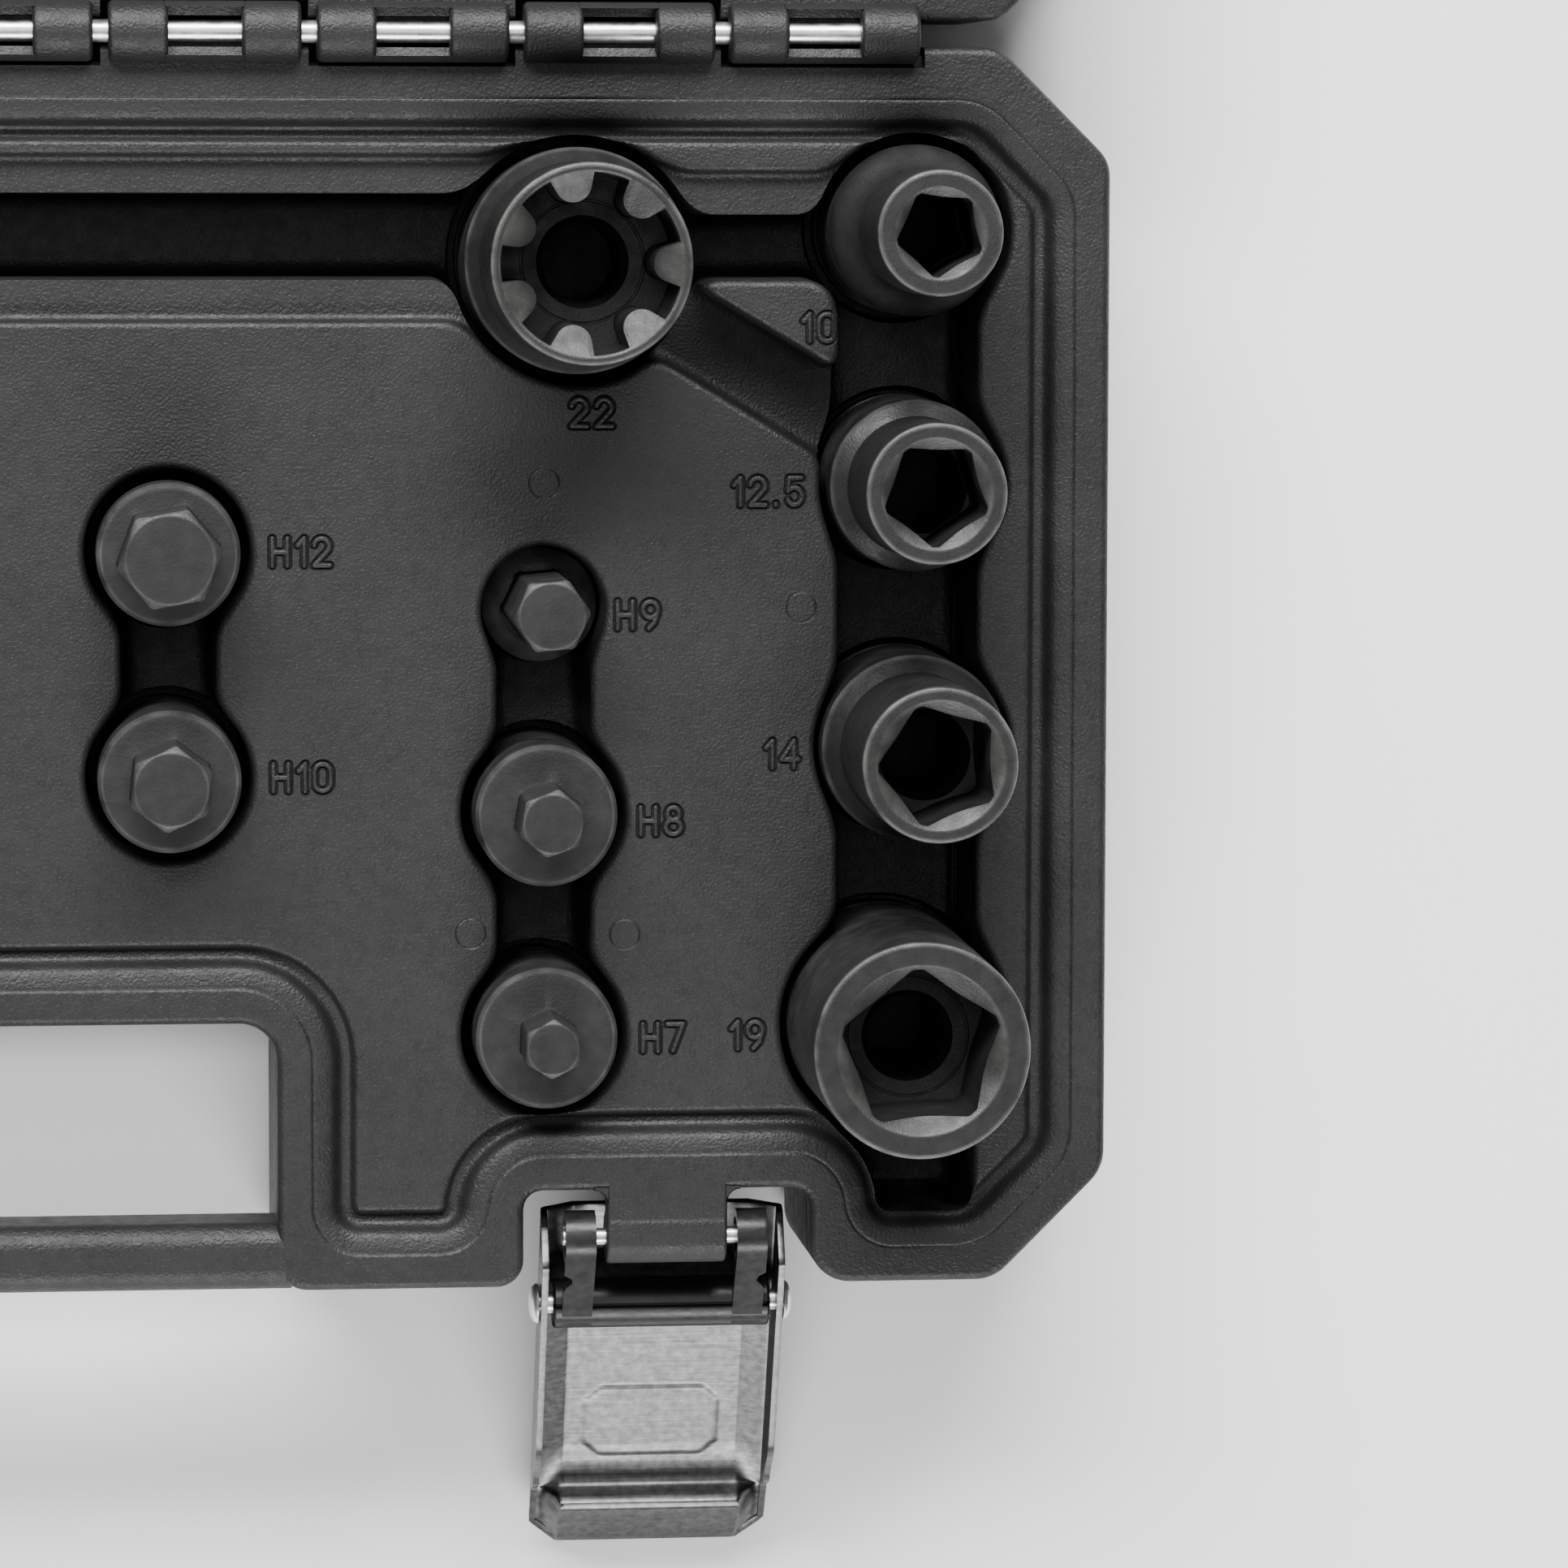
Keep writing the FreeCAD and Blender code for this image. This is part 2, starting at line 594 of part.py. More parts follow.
def latch_lever(word, x):
    body = new_body("LeverBlank" + word)
    tail, start, reach = S["lever_tail"], S["hook_start"], S["lever_reach"]
    floor, thick = S["lever_floor"], S["lever_sheet"]
    wall, top, half = S["lever_wall"], S["hook_top"], S["lever_half"]
    section = sketch(body, "XZ_Plane", [lever_section()], f"-{tail}")
    pad(body, section, f"{tail} + {start}")
    # hook: the sheet rises steeply and slopes down again to the lever's end
    hook = [
        (f"-({start} - {S['hook_foot']})", floor),
        (f"-({start} + {S['hook_face']})", floor),
        (f"-({start} + {S['hook_hollow']})", f"{top} - {S['hook_hollow']}"),
        (f"-({reach})", floor),
        (f"-({reach})", f"{floor} + {S['hook_lip']}"),
        (f"-({start} + {S['hook_crown_far']})", top),
        (f"-({start} + {S['hook_crown_near']})", top),
        (f"-({start} - {S['hook_foot']})", f"{floor} + {thick}"),
    ]
    pad(body, sketch(body, "YZ_Plane", [hook]), f"2 * {S['hook_half']}", midplane=True)
    for side in (1, -1):
        inner = f"{side} * ({S['hook_half']} - {S['lap']})"
        outer = f"{side} * {half}"
        corner = [
            (inner, f"-({start} - {S['lap']})"),
            (outer, f"-({start} - {S['lap']})"),
            (outer, f"-({reach} - {S['corner_length']})"),
            (f"{side} * ({half} - {S['corner_width']})", f"-({reach})"),
            (inner, f"-({reach})"),
        ]
        pad(body, sketch(body, "XY_Plane", [corner], floor), thick)
    # the side walls fall away towards the tail
    past = f"{tail} + {S['lap']}"
    above = f"{wall} + {S['lap']}"
    clear = [
        (past, f"{floor} + {S['tail_wall']}"),
        (f"{tail} - {S['tail_slope']}", wall),
        (f"{tail} - {S['tail_slope']}", above),
        (past, above),
    ]
    across = f"2 * ({half} + {S['lap']})"
    pocket(body, sketch(body, "YZ_Plane", [clear]), across, midplane=True)
    hole = cylinder("LeverHole" + word, S["rivet_pin"], across, f"-({half} + {S['lap']})", "0", "0",
                    along_x=True)
    lever = cut("latch_lever_" + word, body, hole)
    lever.Label = "latch_lever_" + word
    return tip_forward(lever, x, RIVET_Y, RIVET_Z, S["lever_droop"])


def rivet_pin(word, x):
    half = S["lever_half"]
    shank = cylinder("RivetShank" + word, S["rivet_pin"], f"2 * {half}", f"-{half}", "0", "0",
                     along_x=True)
    heads = [
        cylinder("RivetHeadOuter" + word, S["rivet_head"], S["rivet_head_thick"], half, "0", "0",
                 along_x=True),
        cylinder("RivetHeadInner" + word, S["rivet_head"], S["rivet_head_thick"],
                 f"-{half} - {S['rivet_head_thick']}", "0", "0", along_x=True),
    ]
    pin = fuse("latch_rivet_pin_" + word, [shank] + heads)
    pin.Label = "latch_rivet_pin_" + word
    return place(pin, x, RIVET_Y, RIVET_Z)


latches = []
for side, word in ((1, "right"), (-1, "left")):
    centre = f"{side} * {S['latch_x']}"
    pivot = cylinder("latch_pivot_pin_" + word, S["pivot_pin"], f"2 * {S['pivot_pin_half']}",
                     f"{centre} - {S['pivot_pin_half']}", S["pivot_y"], S["pivot_z"], along_x=True)
    latches += [pivot, latch_link(word, centre), latch_lever(word, centre), rivet_pin(word, centre)]


# -------------------------------------------------------------------------------- tools
def drive_recess(name, side_length, depth):
    """The square drive hole in the underside."""
    item = doc.addObject("Part::Box", "Drive_" + name)
    bind(item, Length=side_length, Width=side_length, Height=f"{depth} + {S['lap']}")
    return place(item, f"-{side_length} / 2", f"-{side_length} / 2", f"-{S['lap']}")


def lobed_recess(name, lobes, turn, corner, depth, z):
    """A round recess with half-round lobes that stand into it."""
    bowl = cylinder("Bowl_" + name, corner, depth, "0", "0", z)
    ribs = []
    for i in range(lobes):
        angle = turn + 360.0 * i / lobes
        ribs.append(cylinder(f"Lobe{i}_{name}", S["lobe_radius"], depth,
                             f"{S['lobe_circle']} * cos({angle})",
                             f"{S['lobe_circle']} * sin({angle})", z))
    return cut("Recess_" + name, bowl, fuse("Lobes_" + name, ribs))


def make_tool(name, kind, sides, turn):
    """One socket or bit, built about its own axis and set down in its pocket."""
    base = f"({S['pocket_floor']} + {S['tool_gap']})"
    body_r, neck_r, corner = size(name + "_body"), size(name + "_neck"), size(name + "_corner")
    shoulder = f"({size(name + '_shoulder')} - {base})"
    neck_z = f"({size(name + '_neck_start')} - {base})"
    top = f"({size(name + '_top')} - {base})"
    turned_part = [
        cylinder("Body_" + name, body_r, shoulder, "0", "0", "0"),
        cone("Shoulder_" + name, body_r, neck_r, f"{neck_z} - {shoulder}", "0", "0", shoulder),
    ]
    if kind == "bit":
        turned_part.append(prism("Hex_" + name, sides, corner, f"{top} - {neck_z} + {S['lap']}", "0",
                                 "0", f"{neck_z} - {S['lap']}", turn))
        hollows = [drive_recess(name, S["three_eighth_drive"], S["three_eighth_depth"])]
    else:
        turned_part.append(cylinder("Neck_" + name, neck_r, f"{top} - {neck_z}", "0", "0", neck_z))
        depth = f"{S['recess_depth']} + {S['lap']}"
        start = f"{top} - {S['recess_depth']}"
        if kind == "lobe":
            recess = lobed_recess(name, sides, turn, corner, depth, start)
        else:
            recess = prism("Recess_" + name, sides, corner, depth, "0", "0", start, turn)
        hollows = [
            recess,
            drive_recess(name, S["half_inch_drive"], S["half_inch_depth"]),
            cylinder("Through_" + name, S["through_hole"], f"{top} + 2 * {S['lap']}", "0", "0",
                     f"-{S['lap']}"),
        ]
    solid = fuse("Blank_" + name, turned_part)
    hollow = hollows[0] if len(hollows) == 1 else fuse("Hollow_" + name, hollows)
    tool = cut(name, solid, hollow)
    tool.Label = name
    return place(tool, size(name + "_x"), size(name + "_y"), base)


tools = [make_tool(*row[:4]) for row in TOOLS]

# ------------------------------------------------------------------- checks and output
doc.recompute()
parts = [base_shell, tray, lid_shell, inner_lid, hinge_pin] + latches + tools

for item in doc.Objects:
    if "Invalid" in item.State or "Error" in item.State:
        raise RuntimeError(f"{item.Label} failed: {item.State}")

for item in doc.Objects:
    if item.TypeId == "PartDesign::Pocket":
        before = item.BaseFeature.Shape.Volume
        if item.Shape.Volume >= before:
            raise RuntimeError(f"{item.Label} cut nothing: {before:.1f} mm3")

os.makedirs("parts", exist_ok=True)
for item in parts:
    shape = item.Shape
    if shape.isNull() or not shape.isValid() or len(shape.Solids) != 1:
        raise RuntimeError(f"{item.Label}: null, invalid or {len(shape.Solids)} solids")
    shape.exportStep(f"parts/{item.Label}.step")
    print(f"{item.Label:24s} {shape.Volume / 1000:9.2f} cm3")
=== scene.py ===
import json
import math

import bmesh
import bpy
import numpy as np
from mathutils import Matrix, Vector
from mathutils.geometry import delaunay_2d_cdt


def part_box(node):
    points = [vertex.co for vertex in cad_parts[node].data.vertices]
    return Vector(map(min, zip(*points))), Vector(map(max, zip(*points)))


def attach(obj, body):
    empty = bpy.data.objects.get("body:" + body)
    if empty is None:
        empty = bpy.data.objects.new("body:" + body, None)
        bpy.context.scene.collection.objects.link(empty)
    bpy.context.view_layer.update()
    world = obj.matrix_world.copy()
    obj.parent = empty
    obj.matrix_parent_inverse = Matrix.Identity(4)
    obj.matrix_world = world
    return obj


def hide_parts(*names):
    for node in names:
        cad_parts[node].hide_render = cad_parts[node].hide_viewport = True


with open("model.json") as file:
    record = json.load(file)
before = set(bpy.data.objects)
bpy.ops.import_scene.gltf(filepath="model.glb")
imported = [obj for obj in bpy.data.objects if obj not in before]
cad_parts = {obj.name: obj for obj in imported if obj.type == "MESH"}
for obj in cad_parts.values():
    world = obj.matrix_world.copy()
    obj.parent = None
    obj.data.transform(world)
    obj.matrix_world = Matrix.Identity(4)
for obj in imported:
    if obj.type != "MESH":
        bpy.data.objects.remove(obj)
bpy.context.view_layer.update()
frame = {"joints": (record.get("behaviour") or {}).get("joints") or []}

# All shapes are worked out in millimetres and stored in metres.  Heights (Z) are above the
# surface that the open case stands on.
MM = 0.001


def span(node):
    """Lowest and highest corner of a CAD node in millimetres."""
    low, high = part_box(node)
    return np.array(low) / MM, np.array(high) / MM


JOINT = {j["name"]: j for j in frame["joints"]}
SHELL_LOW, SHELL_HIGH = span("base_outer_shell")
HALF_W = SHELL_HIGH[0]
HALF_D = -SHELL_LOW[1]
SEAM = SHELL_HIGH[2]
RIM = 35.85
HINGE_Y = JOINT["lid_hinge"]["pos_m"][1] / MM
HINGE_Z = JOINT["lid_hinge"]["pos_m"][2] / MM
PIVOT = np.array(JOINT["latch_link_hinge_right"]["pos_m"]) / MM
RIVET = np.array(JOINT["latch_lever_hinge_right"]["pos_m"]) / MM
LATCH_X = PIVOT[0]

CORNER_CUT, BAY_HALF, BAY_DEPTH = 15.0, 19.3, 13.0
GRIP_HALF, GRIP_DEPTH, GRIP_BAR, GRIP_BOTTOM = 36.0, 36.0, 9.0, 22.0
BACK_EXTRA = 2.2
PLATFORM = 34.0
TRAY_WALL = 1.6

# name: kind, sides, turn, corner radius, neck radius, shoulder height, neck start, pocket radius
TOOLS = {
    "socket_10": ("socket", 5, 48.0, 6.0, 8.25, 35.5, 41.0, 13.4),
    "socket_12_5": ("socket", 5, 53.0, 7.3, 9.3, 35.5, 37.0, 13.0),
    "socket_14": ("socket", 5, 38.5, 8.5, 10.25, 35.5, 38.0, 13.7),
    "socket_19": ("socket", 5, 21.0, 11.2, 14.3, 59.5, 61.0, 16.0),
    "socket_lobe_22": ("lobe", 7, 0.0, 11.8, 13.15, 35.5, 38.0, 17.0),
    "bit_hex_9": ("bit", 6, 5.0, 5.2, 5.6, 24.8, 26.0, 8.7),
    "bit_hex_8": ("bit", 6, 20.0, 4.62, 8.9, 38.3, 39.0, 11.5),
    "bit_hex_7": ("bit", 6, 28.0, 4.04, 8.9, 38.3, 39.0, 11.5),
    "bit_hex_12": ("bit", 6, 10.0, 6.93, 8.9, 38.3, 39.0, 11.5),
    "bit_hex_10": ("bit", 6, 24.0, 5.77, 8.9, 38.3, 39.0, 11.5),
    "bit_hex_16": ("bit", 6, 4.0, 9.24, 9.9, 38.3, 39.0, 11.9),
    "bit_hex_14": ("bit", 6, 18.0, 8.08, 9.9, 38.3, 39.0, 11.9),
    "socket_lobe_24": ("lobe", 7, 12.0, 11.8, 13.15, 35.5, 38.0, 17.0),
    "bit_hex_6": ("bit", 6, 12.0, 3.46, 8.9, 38.3, 39.0, 11.5),
    "bit_hex_5": ("bit", 6, 3.0, 2.89, 8.9, 38.3, 39.0, 11.5),
    "bit_hex_4": ("bit", 6, 22.0, 2.31, 8.9, 38.3, 39.0, 11.5),
    "socket_11": ("socket", 6, 14.0, 6.35, 8.6, 35.5, 41.0, 13.4),
    "socket_13": ("socket", 6, 6.0, 7.51, 9.9, 35.5, 37.0, 13.0),
    "socket_15": ("socket", 6, 22.0, 8.66, 10.9, 35.5, 38.0, 13.7),
    "socket_17": ("socket", 6, 9.0, 9.81, 14.3, 59.5, 61.0, 16.0),
}
CENTRE = {name: (span(name)[0] + span(name)[1]) / 2 for name in TOOLS}


# ------------------------------------------------------------------------- materials
def material(name, colour, roughness, metallic, build):
    """A principled material; build adds the procedural detail."""
    made = bpy.data.materials.new(name)
    made.use_nodes = True
    tree = made.node_tree
    shader = tree.nodes["Principled BSDF"]
    shader.inputs["Base Color"].default_value = (*colour, 1)
    shader.inputs["Roughness"].default_value = roughness
    shader.inputs["Metallic"].default_value = metallic
    place = tree.nodes.new("ShaderNodeTexCoord").outputs["Object"]
    build(tree, shader, place)
    return made


def noise(tree, place, scale, detail=4.0, stretch=None):
    """Noise of so many cells per metre, stretched along the axes if asked."""
    if stretch:
        mapping = tree.nodes.new("ShaderNodeMapping")
        mapping.inputs["Scale"].default_value = stretch
        tree.links.new(place, mapping.inputs["Vector"])
        place = mapping.outputs["Vector"]
    node = tree.nodes.new("ShaderNodeTexNoise")
    node.inputs["Scale"].default_value = scale
    node.inputs["Detail"].default_value = detail
    tree.links.new(place, node.inputs["Vector"])
    return node.outputs["Fac"]


def ramp(tree, factor, stops, target):
    """Colours or greys along a factor, linked to a shader socket."""
    node = tree.nodes.new("ShaderNodeValToRGB")
    elements = node.color_ramp.elements
    while len(elements) < len(stops):
        elements.new(0.5)
    for element, (at, colour) in zip(elements, stops):
        element.position = at
        element.color = (*colour, 1) if isinstance(colour, tuple) else (colour, colour, colour, 1)
    tree.links.new(factor, node.inputs["Fac"])
    if target:
        tree.links.new(node.outputs["Color"], target)
    return node.outputs["Color"]


def bump(tree, shader, height, distance, strength=1.0, chain=None):
    node = tree.nodes.new("ShaderNodeBump")
    node.inputs["Distance"].default_value = distance
    node.inputs["Strength"].default_value = strength
    tree.links.new(height, node.inputs["Height"])
    if chain:
        tree.links.new(chain, node.inputs["Normal"])
    tree.links.new(node.outputs["Normal"], shader.inputs["Normal"])
    return node.outputs["Normal"]


def worn(tree, place, low, high, scale, target, dark, bright):
    """Mixes towards a brighter value where the mesh's wear attribute and noise agree."""
    attribute = tree.nodes.new("ShaderNodeAttribute")
    attribute.attribute_name = "wear"
    product = tree.nodes.new("ShaderNodeMath")
    product.operation = "MULTIPLY"
    tree.links.new(attribute.outputs["Fac"], product.inputs[0])
    patches = ramp(tree, noise(tree, place, scale), [(low, 0.0), (high, 1.0)], None)
    tree.links.new(patches, product.inputs[1])
    return ramp(tree, product.outputs[0], [(0.0, dark), (1.0, bright)], target)


def plastic_nodes(tree, shader, place):
    shade = noise(tree, place, 60, 5)
    shader.inputs["Specular IOR Level"].default_value = 0.4
    ramp(tree, shade, [(0.3, (0.0088, 0.0089, 0.0091)), (0.7, (0.0128, 0.0129, 0.0131))],
         shader.inputs["Base Color"])
    ramp(tree, noise(tree, place, 500), [(0.3, 0.44), (0.7, 0.58)], shader.inputs["Roughness"])
    grain = bump(tree, shader, noise(tree, place, 2500, 2), 0.00015, 0.95)
    bump(tree, shader, noise(tree, place, 130, 2), 0.0004, 0.3, grain)


def steel_nodes(tree, shader, place):
    shader.inputs["Specular IOR Level"].default_value = 0.4
    worn(tree, place, 0.25, 0.75, 260, shader.inputs["Base Color"],
         (0.0112, 0.011, 0.0107), (0.12, 0.118, 0.115))
    ramp(tree, noise(tree, place, 420), [(0.3, 0.36), (0.72, 0.56)], shader.inputs["Roughness"])
    speck = bump(tree, shader, noise(tree, place, 2600, 3), 0.00006, 0.8)
    bump(tree, shader, noise(tree, place, 700, 3), 0.00006, 0.4, speck)


def lever_nodes(tree, shader, place):
    blotch = noise(tree, place, 900, 8)
    tone = ramp(tree, blotch, [(0.28, (0.070, 0.070, 0.070)), (0.72, (0.128, 0.128, 0.126))], None)
    # Painted shade: where the mesh attribute marks the curled hook's front face, the colour is mixed towards
    # a darker grey.
    hook_painted_shade = tree.nodes.new("ShaderNodeMix")
    hook_painted_shade.data_type = "RGBA"
    attribute = tree.nodes.new("ShaderNodeAttribute")
    attribute.attribute_name = "wear"
    tree.links.new(attribute.outputs["Fac"], hook_painted_shade.inputs["Factor"])
    tree.links.new(tone, hook_painted_shade.inputs["A"])
    # The darker grey of the hook face's painted shade.
    dark = ramp(tree, noise(tree, place, 900, 6),
                [(0.3, (0.014, 0.014, 0.0145)), (0.7, (0.06, 0.06, 0.06))], None)
    tree.links.new(dark, hook_painted_shade.inputs["B"])
    tree.links.new(hook_painted_shade.outputs["Result"], shader.inputs["Base Color"])
    brush = noise(tree, place, 90, 4, (1.0, 22.0, 22.0))
    ramp(tree, brush, [(0.25, 0.26), (0.75, 0.42)], shader.inputs["Roughness"])
    brushed = bump(tree, shader, brush, 0.00003, 0.4)
    bump(tree, shader, noise(tree, place, 1500, 3), 0.00002, 0.4, brushed)


def coat_nodes(tree, shader, place):
    ramp(tree, noise(tree, place, 300, 5), [(0.3, (0.007, 0.007, 0.0072)), (0.7, (0.0125, 0.0125, 0.0128))],
         shader.inputs["Base Color"])
    shader.inputs["Specular IOR Level"].default_value = 0.4
    ramp(tree, noise(tree, place, 800), [(0.3, 0.30), (0.7, 0.44)], shader.inputs["Roughness"])
    bump(tree, shader, noise(tree, place, 1800, 3), 0.00005, 0.5)


def bright_nodes(tree, shader, place):
    ramp(tree, noise(tree, place, 260, 5, (30.0, 1.0, 1.0)),
         [(0.3, (0.72, 0.72, 0.72)), (0.7, (0.92, 0.92, 0.91))], shader.inputs["Base Color"])
    ramp(tree, noise(tree, place, 600), [(0.3, 0.28), (0.7, 0.42)], shader.inputs["Roughness"])
    bump(tree, shader, noise(tree, place, 1200, 3), 0.00002, 0.3)


PLASTIC = material("case_plastic", (0.0107, 0.0108, 0.011), 0.5, 0.0, plastic_nodes)
STEEL = material("phosphated_steel", (0.0112, 0.011, 0.0107), 0.45, 0.0, steel_nodes)
LEVER = material("brushed_lever", (0.62, 0.62, 0.62), 0.33, 1.0, lever_nodes)
COAT = material("black_coated_steel", (0.027, 0.027, 0.028), 0.36, 0.0, coat_nodes)
BRIGHT = material("bright_steel", (0.75, 0.75, 0.75), 0.2, 1.0, bright_nodes)


# ---------------------------------------------------------------------- mesh helpers
def smooth(mesh, angle):
    """Smooth faces, with sharp edges where they meet at more than the angle in degrees."""
    mesh.polygons.foreach_set("use_smooth", [True] * len(mesh.polygons))
    mesh.set_sharp_from_angle(angle=math.radians(angle))


class Shape:
    """Vertices in millimetres with their wear value (painted shade on the lever's hook face), and faces."""

    def __init__(self):
        self.points, self.faces, self.wear = [], [], []
        self.count = 0

    def add(self, points, faces, wear=None):
        points = np.asarray(points, float)
        first = self.count
        self.points.append(points)
        self.count += len(points)
        self.wear.append(np.zeros(len(points)) if wear is None else np.asarray(wear, float))
        self.faces += [[first + int(i) for i in face] for face in faces]
        return first

    def join(self, row_a, row_b):
        """Side wall between two closed rows, the first one above the second."""
        self.faces += [[int(i) for i in face[::-1]] for face in bridge(row_a, row_b)]

    def build(self, name, material, body, slot, moved=None, replaces=(), angle=35):
        points = np.concatenate(self.points)
        mesh = bpy.data.meshes.new(name)
        mesh.from_pydata([tuple(p) for p in points * MM], [], self.faces)
        # This attribute holds real edge wear on the tools and painted shade on the lever's hook face.
        mesh.attributes.new("wear", "FLOAT", "POINT").data.foreach_set("value", np.concatenate(self.wear))
        smooth(mesh, angle)
        if moved is not None:
            mesh.transform(moved)
        mesh.validate()
        mesh.materials.append(material)
        made = bpy.data.objects.new(name, mesh)
        bpy.context.scene.collection.objects.link(made)
        even = made.modifiers.new("even_shading", "WEIGHTED_NORMAL")
        even.keep_sharp = True
        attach(made, body)
        if replaces:
            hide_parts(*replaces)
        return made


def shift(x, y, z):
    return Matrix.Translation(Vector((x, y, z)) * MM)


def bridge(a, b, closed=True):
    """Quads between two rows of vertex indices of the same length."""
    n = len(a)
    last = n if closed else n - 1
    return [(a[i], a[(i + 1) % n], b[(i + 1) % n], b[i]) for i in range(last)]


def lathe(shape, rings, turn=0.0, wrap=False):
    """Closed surface from rings of (radius, height) or (radius, height, wear).  Radius and
    height are each a number or one value per angle."""
    count = max(len(np.atleast_1d(ring[0])) for ring in rings)
    angle = np.radians(turn) + np.arange(count) * 2 * math.pi / count
    rows, points, marks = [], [], []
    for k, (r, z, *wear) in enumerate(rings):
        r = np.broadcast_to(np.asarray(r, float), (count,))
        z = np.broadcast_to(np.asarray(z, float), (count,))
        rows.append(np.arange(count) + count * k)
        points.append(np.stack([r * np.cos(angle), r * np.sin(angle), z], 1))
        marks.append(np.full(count, wear[0] if wear else 0.0))
    faces = []
    pairs = list(zip(rows, rows[1:])) + ([(rows[-1], rows[0])] if wrap else [])
    for a, b in pairs:
        faces += bridge(a, b)
    if not wrap:
        faces.append(tuple(rows[0][::-1]))
        faces.append(tuple(rows[-1]))
    shape.add(np.concatenate(points), faces, wear=np.concatenate(marks))


def extrude_x(shape, profile, x0, x1, rounding=0.4, steps=3):
    """A closed (y, z) profile drawn out along X, its two ends rounded over."""
    profile = np.asarray(profile, float)
    following, before = np.roll(profile, -1, 0), np.roll(profile, 1, 0)
    along = following - before
    normal = np.stack([along[:, 1], -along[:, 0]], 1)
    normal /= np.maximum(np.linalg.norm(normal, axis=1, keepdims=True), 1e-9)
    area = np.sum(profile[:, 0] * following[:, 1] - following[:, 0] * profile[:, 1])
    outward = normal if area > 0 else -normal
    stations = []
    for i in range(steps + 1):
        t = i / steps * math.pi / 2
        stations.append((x0 + rounding * (1 - math.sin(t)), rounding * (1 - math.cos(t))))
    stations.sort()
    stations += [(x0 + x1 - x, inset) for x, inset in stations[::-1]]
    rows, points = [], []
    n = len(profile)
    for k, (x, inset) in enumerate(stations):
        rows.append(np.arange(n) + n * k)
        yz = profile - outward * inset
        points.append(np.stack([np.full(n, x), yz[:, 0], yz[:, 1]], 1))
    faces = []
    for a, b in zip(rows, rows[1:]):
        faces += bridge(a, b)
    faces.append(tuple(rows[0][::-1]))
    faces.append(tuple(rows[-1]))
    if area < 0:
        faces = [f[::-1] for f in faces]
    shape.add(np.concatenate(points), faces)


def rounded(points, radii, spacing=0.7):
    """A closed polygon with each corner rounded to its own radius."""
    out = []
    n = len(points)
    for i in range(n):
        p = np.array(points[i], float)
        a = np.array(points[i - 1], float) - p
        b = np.array(points[(i + 1) % n], float) - p
        ua, ub = a / np.linalg.norm(a), b / np.linalg.norm(b)
        opening = math.acos(max(-1.0, min(1.0, float(ua @ ub))))
        if radii[i] <= 0 or opening > math.pi - 0.02:
            out.append(p)
            continue
        reach = radii[i] / math.tan(opening / 2)
        start, end = p + ua * reach, p + ub * reach
        middle = ua + ub
        centre = p + middle / np.linalg.norm(middle) * radii[i] / math.sin(opening / 2)
        a0 = math.atan2(*(start - centre)[::-1])
        swing = (math.atan2(*(end - centre)[::-1]) - a0 + math.pi) % (2 * math.pi) - math.pi
        steps = max(4, int(abs(swing) * radii[i] / spacing))
        for k in range(steps + 1):
            angle = a0 + swing * k / steps
            out.append(centre + radii[i] * np.array([math.cos(angle), math.sin(angle)]))
    return np.array(out)


def outline(inset, back_extra=0.0):
    """Corners of the case's outline, moved inwards."""
    right, back = HALF_W - inset, HALF_D - inset
    slide = CORNER_CUT + inset * math.tan(math.radians(22.5))
    cut = right + inset - slide
    half = [
        (cut, back - back_extra),
        (right, back - back_extra + inset - slide),
        (right, -(back + inset - slide)),
        (cut, -back),
        (LATCH_X + BAY_HALF + inset, -back),
        (LATCH_X + BAY_HALF + inset, -back + BAY_DEPTH),
        (LATCH_X - BAY_HALF - inset, -back + BAY_DEPTH),
        (LATCH_X - BAY_HALF - inset, -back),
        (GRIP_HALF + inset, -back),
        (GRIP_HALF + inset, -back + GRIP_DEPTH),
    ]
    return half + [(-x, y) for x, y in reversed(half)]


def both(radii):
    return radii + radii[::-1]


OUTLINE = rounded(outline(0), both([5, 5, 6, 6, 5.5, 2.6, 2.6, 3.6, 4, 5]))
CREASE = rounded(outline(4.8, BACK_EXTRA), both([9, 9, 9, 9, 6.5, 7.6, 7.6, 6.5, 6.5, 10]))
LID_EDGE = rounded(outline(4.4), both([8, 8, 8, 8, 6, 7, 7, 6, 6, 9.5]))


def polygon_distance(points, x, y):
    """Distance to a closed polygon, positive inside."""
    best = np.full(x.shape, 1e9)
    inside = np.zeros(x.shape, bool)
    for (x0, y0), (x1, y1) in zip(points, np.roll(points, -1, axis=0)):
        dx, dy = x1 - x0, y1 - y0
        t = np.clip(((x - x0) * dx + (y - y0) * dy) / (dx * dx + dy * dy + 1e-12), 0, 1)
        np.minimum(best, (x - x0 - t * dx) ** 2 + (y - y0 - t * dy) ** 2, out=best)
        if dy != 0:
            inside ^= ((y0 > y) != (y1 > y)) & (x < x0 + (y - y0) * dx / dy)
    return np.where(inside, 1.0, -1.0) * np.sqrt(best)


def box_distance(x, y, x0, x1, y0, y1):
    """Distance to a box, negative inside."""
    dx = np.abs(x - (x0 + x1) / 2) - (x1 - x0) / 2
    dy = np.abs(y - (y0 + y1) / 2) - (y1 - y0) / 2
    outside = np.hypot(np.maximum(dx, 0), np.maximum(dy, 0))
    return outside + np.minimum(np.maximum(dx, dy), 0)


def blended(fields, k):
    """Union of distances, its inner corners filleted over k."""
    out = fields[0]
    for field in fields[1:]:
        h = np.maximum(k - np.abs(out - field), 0) / k
        out = np.minimum(out, field) - h * h * k / 4
    return out


